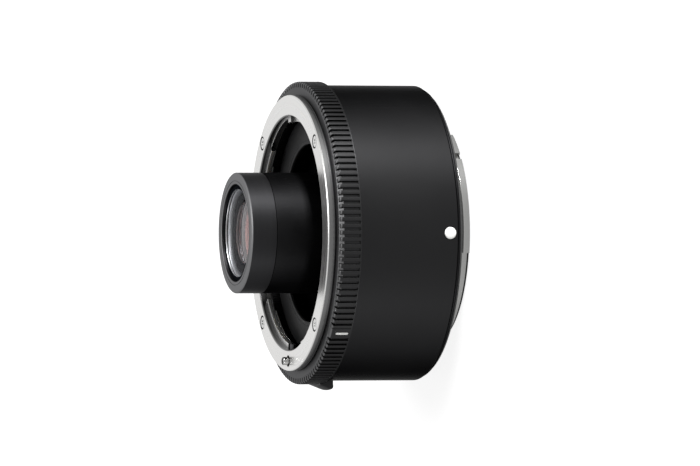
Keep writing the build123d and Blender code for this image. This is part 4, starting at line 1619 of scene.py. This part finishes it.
@dataclass
class CameraSideMount:
    """The flange ring behind, its screws, the black well inside it and the rear glass."""

    flange_radius: float = 33.0
    thickness: float = 1.6
    spigot: float = 26.3
    bore: float = 25.0
    spigot_end: float = -4.3
    ease: float = 0.12
    lug_root: float = 25.87
    lug_radius: float = 27.2
    lug_front: float = -3.0
    lug_rear: float = -4.6
    lug_spans: tuple[Span, ...] = ((-10.0, 40.0), (44.0, 59.0), (140.4, 171.4), (234.4, 256.4))
    pin_hole: float = 1.1
    pin_hole_end: float = 3.0
    pin_hole_bevel: tuple[float, float] = (0.14, 0.12)
    well_bore: float = 14.0
    well_floor: float = 0.8
    well_outer: float = 24.95
    well_rim: float = 25.8
    well_inner: float = 23.75
    well_low: float = -4.9
    well_bevel: float = 0.1
    well_edge: float = 0.12
    traps: int = 7
    trap_start: float = -4.4
    trap_pitch: float = 0.7
    trap_depth: float = 0.14
    trap_rise: float = 0.12
    trap_run: float = 0.45
    window_inner: float = 22.0
    window_outer: float = 26.7
    window_low: float = -6.0
    window_high: float = -1.2
    lead_low: float = -0.2
    lead_high: float = 2.6
    glass_radius: float = 13.0
    glass_curve: float = 42.0

    def ring(self) -> None:
        """Makes the ring with its spigot, lugs, countersinks and pin hole."""
        outline = rounded([
            (self.bore, self.spigot_end), (self.spigot, self.spigot_end), (self.spigot, 0.0),
            (self.flange_radius, 0.0), (self.flange_radius, self.thickness), (self.bore, self.thickness),
        ], self.ease, 3)
        ring = new_object(turned("rear_flange", outline, segments=300))
        screw = CountersunkScrew()
        cutters = [placed(screw.sink(0.0, False), FIXING_RADIUS, angle) for angle in SCREW_ANGLES]
        hole = drill("hole", self.pin_hole, self.pin_hole_end, 0.0, self.pin_hole_bevel)
        cut(ring, [*cutters, placed(hole, FIXING_RADIUS, LATCH_ANGLE)])
        section = oblong(self.lug_root, self.lug_radius, self.lug_rear, self.lug_front)
        joined(ring, lugs("rear_lug", self.lug_spans, section))
        finished(ring, Slot.STEEL, ["camera_side_mount_ring"], sharp=50, finish=SHADED_REAR_STEEL)

    def well(self) -> None:
        """Makes the black shroud, with light-trap steps round its wall and the window for the contacts."""
        inner, deep, low = self.well_inner, self.well_inner + self.trap_depth, self.well_low
        outline = [
            (self.well_bore, self.well_floor), (self.well_bore, self.thickness),
            (self.well_outer, self.thickness), (self.well_outer, self.spigot_end),
            (self.well_rim, self.spigot_end), (self.well_rim, low + self.well_edge),
            (self.well_rim - self.well_bevel, low),
            (inner + self.well_bevel, low), (inner, low + self.well_bevel),
        ]
        for start in (self.trap_start + self.trap_pitch * i for i in range(self.traps)):
            outline += [(inner, start), (deep, start + self.trap_rise), (deep, start + self.trap_run)]
        outline.append((inner, self.well_floor))
        made = new_object(turned("rear_well", outline))
        cut(made, [contact_window(self.window_inner, self.window_outer, self.window_low, self.window_high),
                   lead_slot(self.lead_low, self.lead_high)])
        finished(made, Slot.PLASTIC, ["rear_shroud"], sharp=30)

    def glass(self) -> None:
        """Makes the domed rear element, between the heights of the CAD's."""
        low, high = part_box("lens_8_rear")[0].z / MM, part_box("lens_8_rear")[1].z / MM
        radius, curve = self.glass_radius, self.glass_curve
        edge = low + abs(curve) - math.sqrt(curve * curve - radius * radius)
        lens("rear_lens", lens_outline(radius, edge, high, curve, 0.0), ["lens_8_rear"])

    def build(self) -> None:
        """Makes every piece of the mount."""
        self.ring()
        self.well()
        self.glass()
        screw_set("rear", ["camera_side_mount_screws"], 0.0, False)


@dataclass
class Contacts:
    """The two contact blocks, the sprung pins of one and the pads of the other."""

    count: int = 11
    middle: float = 180.0
    pitch: float = 4.6
    circle: float = 24.0
    inner: float = 22.3
    outer: float = 25.7
    half: float = 26.0
    block_low: float = 22.0
    block_top: float = 26.8
    block_ease: float = 0.12
    bore: float = 0.47
    bore_bevel: tuple[float, float] = (0.14, 0.12)
    pin_radius: float = 0.42
    pin_low: float = 24.6
    pin_tip: float = 28.0
    spring_low: float = 22.8
    spring_radius: float = 0.27
    spring_wire: float = 0.07
    spring_turns: int = 5
    travel: float = 0.9
    rear_outer: float = 24.95
    rear_low: float = -4.8
    rear_top: float = -1.5
    rear_ease: float = 0.1
    pad_reach: float = 1.1
    pad_half: float = 0.6
    pad_low: float = -4.9
    pad_top: float = -4.75
    pad_ease: float = 0.05

    def angles(self) -> list[float]:
        """The angle of each contact."""
        return [self.middle + self.pitch * (i - (self.count - 1) / 2) for i in range(self.count)]

    def block_piece(self, name: str, section: Outline) -> bpy.types.Object:
        """A block with a section, over the angles of the contacts."""
        return new_object(turned(name, section, self.middle - self.half, 2 * self.half, FINE))

    def block(self) -> None:
        """Makes the block that guides the pins, with a bevelled mouth on each bore."""
        section = oblong(self.inner, self.outer, self.block_low, self.block_top)
        made = self.block_piece("contact_block", rounded(section, self.block_ease, 2))
        cut(made, [placed(drill("bore", self.bore, self.spring_low, self.block_top, self.bore_bevel, 24),
                          self.circle, angle) for angle in self.angles()])
        finished(made, Slot.PLASTIC, ["lens_side_contact_block"])

    def pins(self) -> None:
        """Makes the sprung pins, each on its own body."""
        radius = self.pin_radius
        dome = arc((0, self.pin_tip - radius), (radius, radius), 6)
        outline = [(0, self.pin_low), (radius, self.pin_low), *dome]
        for number, angle in enumerate(self.angles(), start=1):
            name = f"contact_pin_{number:02d}"
            mesh = placed(turned("pin", outline, segments=20), self.circle)
            made = RingArray(1, angle).grow(f"{name}_round", mesh, FINISHES[Slot.GOLD].build())
            finished(made, Slot.GOLD, [name], name)

    def springs(self) -> None:
        """Makes the spring under each pin."""
        low, high = self.spring_low, self.pin_low
        for number, angle in enumerate(self.angles(), start=1):
            spring = coil(f"contact_spring_{number:02d}", self.spring_radius, self.spring_wire, low, high,
                          self.spring_turns)
            made = new_object(placed(spring, self.circle, angle))
            finished(made, Slot.SPRING, ["contact_springs"] if number == 1 else ())
            compressed(made)

    def rear_block(self) -> None:
        """Makes the block in the rear well."""
        section = oblong(self.inner, self.rear_outer, self.rear_low, self.rear_top)
        made = self.block_piece("rear_contact_block", rounded(section, self.rear_ease, 2))
        finished(made, Slot.PLASTIC, ["camera_side_contact_block"])

    def pads(self) -> None:
        """Makes the flat pads in the rear block."""
        middle = (self.inner + self.rear_outer) / 2
        pad = box("pad", (middle - self.pad_reach, -self.pad_half, self.pad_low),
                  (middle + self.pad_reach, self.pad_half, self.pad_top), self.pad_ease)
        array = RingArray(self.count, self.angles()[0], self.pitch)
        made = array.grow("rear_contact_pads", pad, FINISHES[Slot.GOLD].build())
        finished(made, Slot.GOLD, ["contact_pads"])

    def build(self) -> None:
        """Makes every piece of the contacts."""
        self.block()
        self.pins()
        self.springs()
        self.rear_block()
        self.pads()


@dataclass
class Latch:
    """The release lever and the lock pin that it pulls."""

    rear: float = 22.3
    front: float = 25.6
    under: float = 35.27
    top: float = 37.4
    front_top: float = 36.3
    half: float = 8.0
    slope_start: float = 0.5
    rear_bevel: tuple[float, float] = (0.45, 0.12)
    ridges: int = 3
    ridge_depth: float = 0.25
    ease: float = 0.1
    end_bevel: float = 0.25
    end_angle: float = 60.0
    stem_half: float = 2.0
    stem_root: float = 0.1
    stem_inner: float = 33.4
    stem_low: float = 22.6
    stem_high: float = 24.4
    stem_ease: float = 0.08
    pin_radius: float = 0.95
    pin_low: float = 17.22
    pin_high: float = 33.4
    pin_ease: float = 0.25
    collar: float = 23.12
    collar_top: float = 24.12
    collar_radius: float = 1.7
    spring_low: float = 15.5
    spring_wire: float = 0.22
    spring_turns: int = 8
    travel: float = 1.6

    def lever(self) -> None:
        """Makes the finger piece, its ridged slope to the front, on its stem."""
        slope = self.rear + self.slope_start
        step = (self.front - slope) / self.ridges
        fall = (self.top - self.front_top) / self.ridges
        outline: Outline = [(self.under, self.rear), (self.top - self.rear_bevel[0], self.rear),
                            (self.top - self.rear_bevel[1], slope - self.ridge_depth)]
        for i in range(self.ridges):
            crest = self.top - fall * i
            outline.append((crest, slope + step * i))
            outline.append((crest - self.ridge_depth, slope + step * (i + 1) - self.ridge_depth))
        outline += [(self.front_top, self.front), (self.under, self.front)]
        section = rounded(outline, self.ease, 3)
        made = new_object(turned("release_knob", section, LATCH_ANGLE - self.half, 2 * self.half, 720))
        bevel = made.modifiers.new("ends", "BEVEL")
        bevel.width, bevel.segments = self.end_bevel * MM, 3
        bevel.limit_method, bevel.angle_limit = "ANGLE", math.radians(self.end_angle)
        baked(made)
        stem = box("stem", (-self.stem_half, -self.under - self.stem_root, self.stem_low),
                   (self.stem_half, -self.stem_inner, self.stem_high), self.stem_ease)
        finished(joined(made, [stem]), Slot.ALLOY, ["release_lever"], Body.LEVER.value,
                 finish=FINISHES[Slot.GRIP])

    def pin(self) -> None:
        """Makes the lock pin with its rounded tip and its collar."""
        radius, wide = self.pin_radius, self.collar_radius
        outline = rounded([
            (0, self.pin_low), (radius, self.pin_low), (radius, self.collar), (wide, self.collar),
            (wide, self.collar_top), (radius, self.collar_top), (radius, self.pin_high), (0, self.pin_high),
        ], self.pin_ease, 5, (0, 3, 4, 5, 7))
        mesh = placed(turned("lock_pin_round", outline, segments=48), FIXING_RADIUS, LATCH_ANGLE)
        finished(new_object(mesh), Slot.STEEL, ["lock_pin"], Body.LOCK_PIN.value, finish=SHADED_PIN_STEEL)

    def spring(self) -> None:
        """Makes the coil spring that pushes the lock pin out, as wide as the CAD's."""
        low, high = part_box("lock_pin_spring")
        radius = (high.x - low.x) / 2 / MM - self.spring_wire
        mesh = coil("lock_pin_coil", radius, self.spring_wire, self.spring_low, self.collar,
                    self.spring_turns)
        made = new_object(placed(mesh, FIXING_RADIUS, LATCH_ANGLE))
        finished(made, Slot.SPRING, ["lock_pin_spring"])
        compressed(made)

    def build(self) -> None:
        """Makes the lever, the pin and the pin's spring."""
        self.lever()
        self.pin()
        self.spring()


# Stage


@dataclass(frozen=True)
class Lamp:
    """An area lamp that faces the object.

    Its azimuth is counted in degrees from +X, anticlockwise, and its elevation from the floor. Its distance
    and its width and height are in metres, and its power is in watts.
    """

    name: str
    azimuth: float
    elevation: float
    distance: float
    size: tuple[float, float]
    power: float
    target: tuple[float, float, float] = (0.0, 0.0, 0.015)

    def build(self) -> None:
        """Sets the lamp up."""
        data = bpy.data.lights.new(self.name, "AREA")
        data.shape, data.energy = "RECTANGLE", self.power
        data.size, data.size_y = self.size
        made = bpy.data.objects.new(self.name, data)
        bpy.context.scene.collection.objects.link(made)
        a, e = math.radians(self.azimuth), math.radians(self.elevation)
        away = Vector((math.cos(a) * math.cos(e), math.sin(a) * math.cos(e), math.sin(e)))
        made.location = Vector(self.target) + away * self.distance
        made.rotation_euler = away.to_track_quat("Z", "Y").to_euler()
        made.visible_camera = False


@dataclass
class Studio:
    """The floor, the lights and the camera.

    Lengths are in metres, but for the floor's height and the camera's lens and sensor, in millimetres.
    """

    floor_height: float = -4.9
    floor_size: float = 6.0
    floor_colour: Colour = (0.55, 0.55, 0.55)
    floor_glow: float = 0.80
    backdrop: Colour = (1.0, 1.0, 1.0)
    fill: float = 0.30
    camera_distance: float = 1.8
    camera_lens: float = 388.8
    camera_sensor: float = 36.0
    camera_near: float = 0.05
    camera_far: float = 30.0
    target: tuple[float, float, float] = (0.0, 0.0, 0.0166)
    direction: tuple[float, float, float] = (0.9555, 0.0, 0.295)
    lamps: tuple[Lamp, ...] = (
        Lamp("key", 62.0, 4.5, 0.9, (0.24, 0.12), 17.0),
        Lamp("strip", -56.0, 4.5, 1.0, (0.12, 0.12), 3.0),
        Lamp("over", 60.0, 70.0, 1.0, (0.5, 0.5), 3.0),
    )

    @staticmethod
    def seen(graph: Graph) -> bpy.types.NodeSocket:
        """A socket that is 1 for what the camera sees, straight, by a reflection or through glass.

        Args:
            graph: the graph that it is added to.

        Returns:
            The socket.
        """
        path = graph.node("ShaderNodeLightPath").outputs
        reflected = graph.maths("MAXIMUM", path["Is Camera Ray"], path["Is Glossy Ray"])
        return graph.maths("MAXIMUM", reflected, path["Is Transmission Ray"])

    def camera(self) -> None:
        """Sets the camera at the photograph's angle, with the optical axis across the image."""
        data = bpy.data.cameras.new("camera")
        data.lens, data.sensor_width = self.camera_lens, self.camera_sensor
        data.clip_start, data.clip_end = self.camera_near, self.camera_far
        made = bpy.data.objects.new("camera", data)
        bpy.context.scene.collection.objects.link(made)
        back = Vector(self.direction).normalized()
        up = Vector((0, 1, 0))
        turn = Matrix((up.cross(back), up, back)).transposed().to_4x4()
        made.matrix_world = Matrix.Translation(Vector(self.target) + back * self.camera_distance) @ turn
        bpy.context.scene.camera = made

    def floor(self) -> None:
        """Makes a pale floor that shows white to the camera and is open from below."""
        bm = bmesh.new()
        bmesh.ops.create_grid(bm, x_segments=1, y_segments=1, size=self.floor_size / 2)
        bmesh.ops.translate(bm, vec=(0, 0, self.floor_height * MM), verts=bm.verts)
        mesh = bpy.data.meshes.new("floor")
        bm.to_mesh(mesh)
        bm.free()
        made = new_object(mesh)
        material = bpy.data.materials.new("floor_paper")
        material.use_nodes = True
        material.node_tree.nodes.clear()
        graph = Graph(material.node_tree)
        paper = graph.node("ShaderNodeBsdfDiffuse", {"Color": self.floor_colour})
        strength = graph.maths("MULTIPLY", self.seen(graph), self.floor_glow)
        glow = graph.node("ShaderNodeEmission", {"Strength": strength})
        both = graph.node("ShaderNodeAddShader", {0: paper.outputs[0], 1: glow.outputs[0]})
        below = graph.node("ShaderNodeNewGeometry").outputs["Backfacing"]
        side = graph.mix_shader(below, both, graph.node("ShaderNodeBsdfTransparent"))
        graph.node("ShaderNodeOutputMaterial", {"Surface": side.outputs[0]})
        made.data.materials.append(material)

    def world(self) -> None:
        """Shows white to the camera, and gives a soft grey fill to everything else."""
        world = bpy.data.worlds.new("studio")
        bpy.context.scene.world = world
        world.use_nodes = True
        graph = Graph(world.node_tree)
        strength = graph.node("ShaderNodeMapRange", {
            "Value": self.seen(graph), "To Min": self.fill, "To Max": 1.0})
        graph.feed_all(world.node_tree.nodes["Background"], {
            "Color": self.backdrop, "Strength": strength.outputs["Result"]})

    def build(self) -> None:
        """Sets the stage."""
        self.camera()
        self.floor()
        self.world()
        for lamp in self.lamps:
            lamp.build()


def main() -> None:
    """Builds the model and its stage."""
    bpy.context.scene.view_settings.view_transform = "Standard"
    dress_cad_nodes()
    for part in (LensSideMount(), GripRing(), Barrel(), Throat(), FrontTube(), CameraSideMount(), Contacts(),
                 Latch()):
        part.build()
        log.info("%s done", type(part).__name__)
    Studio().build()


if __name__ == "__main__":
    main()
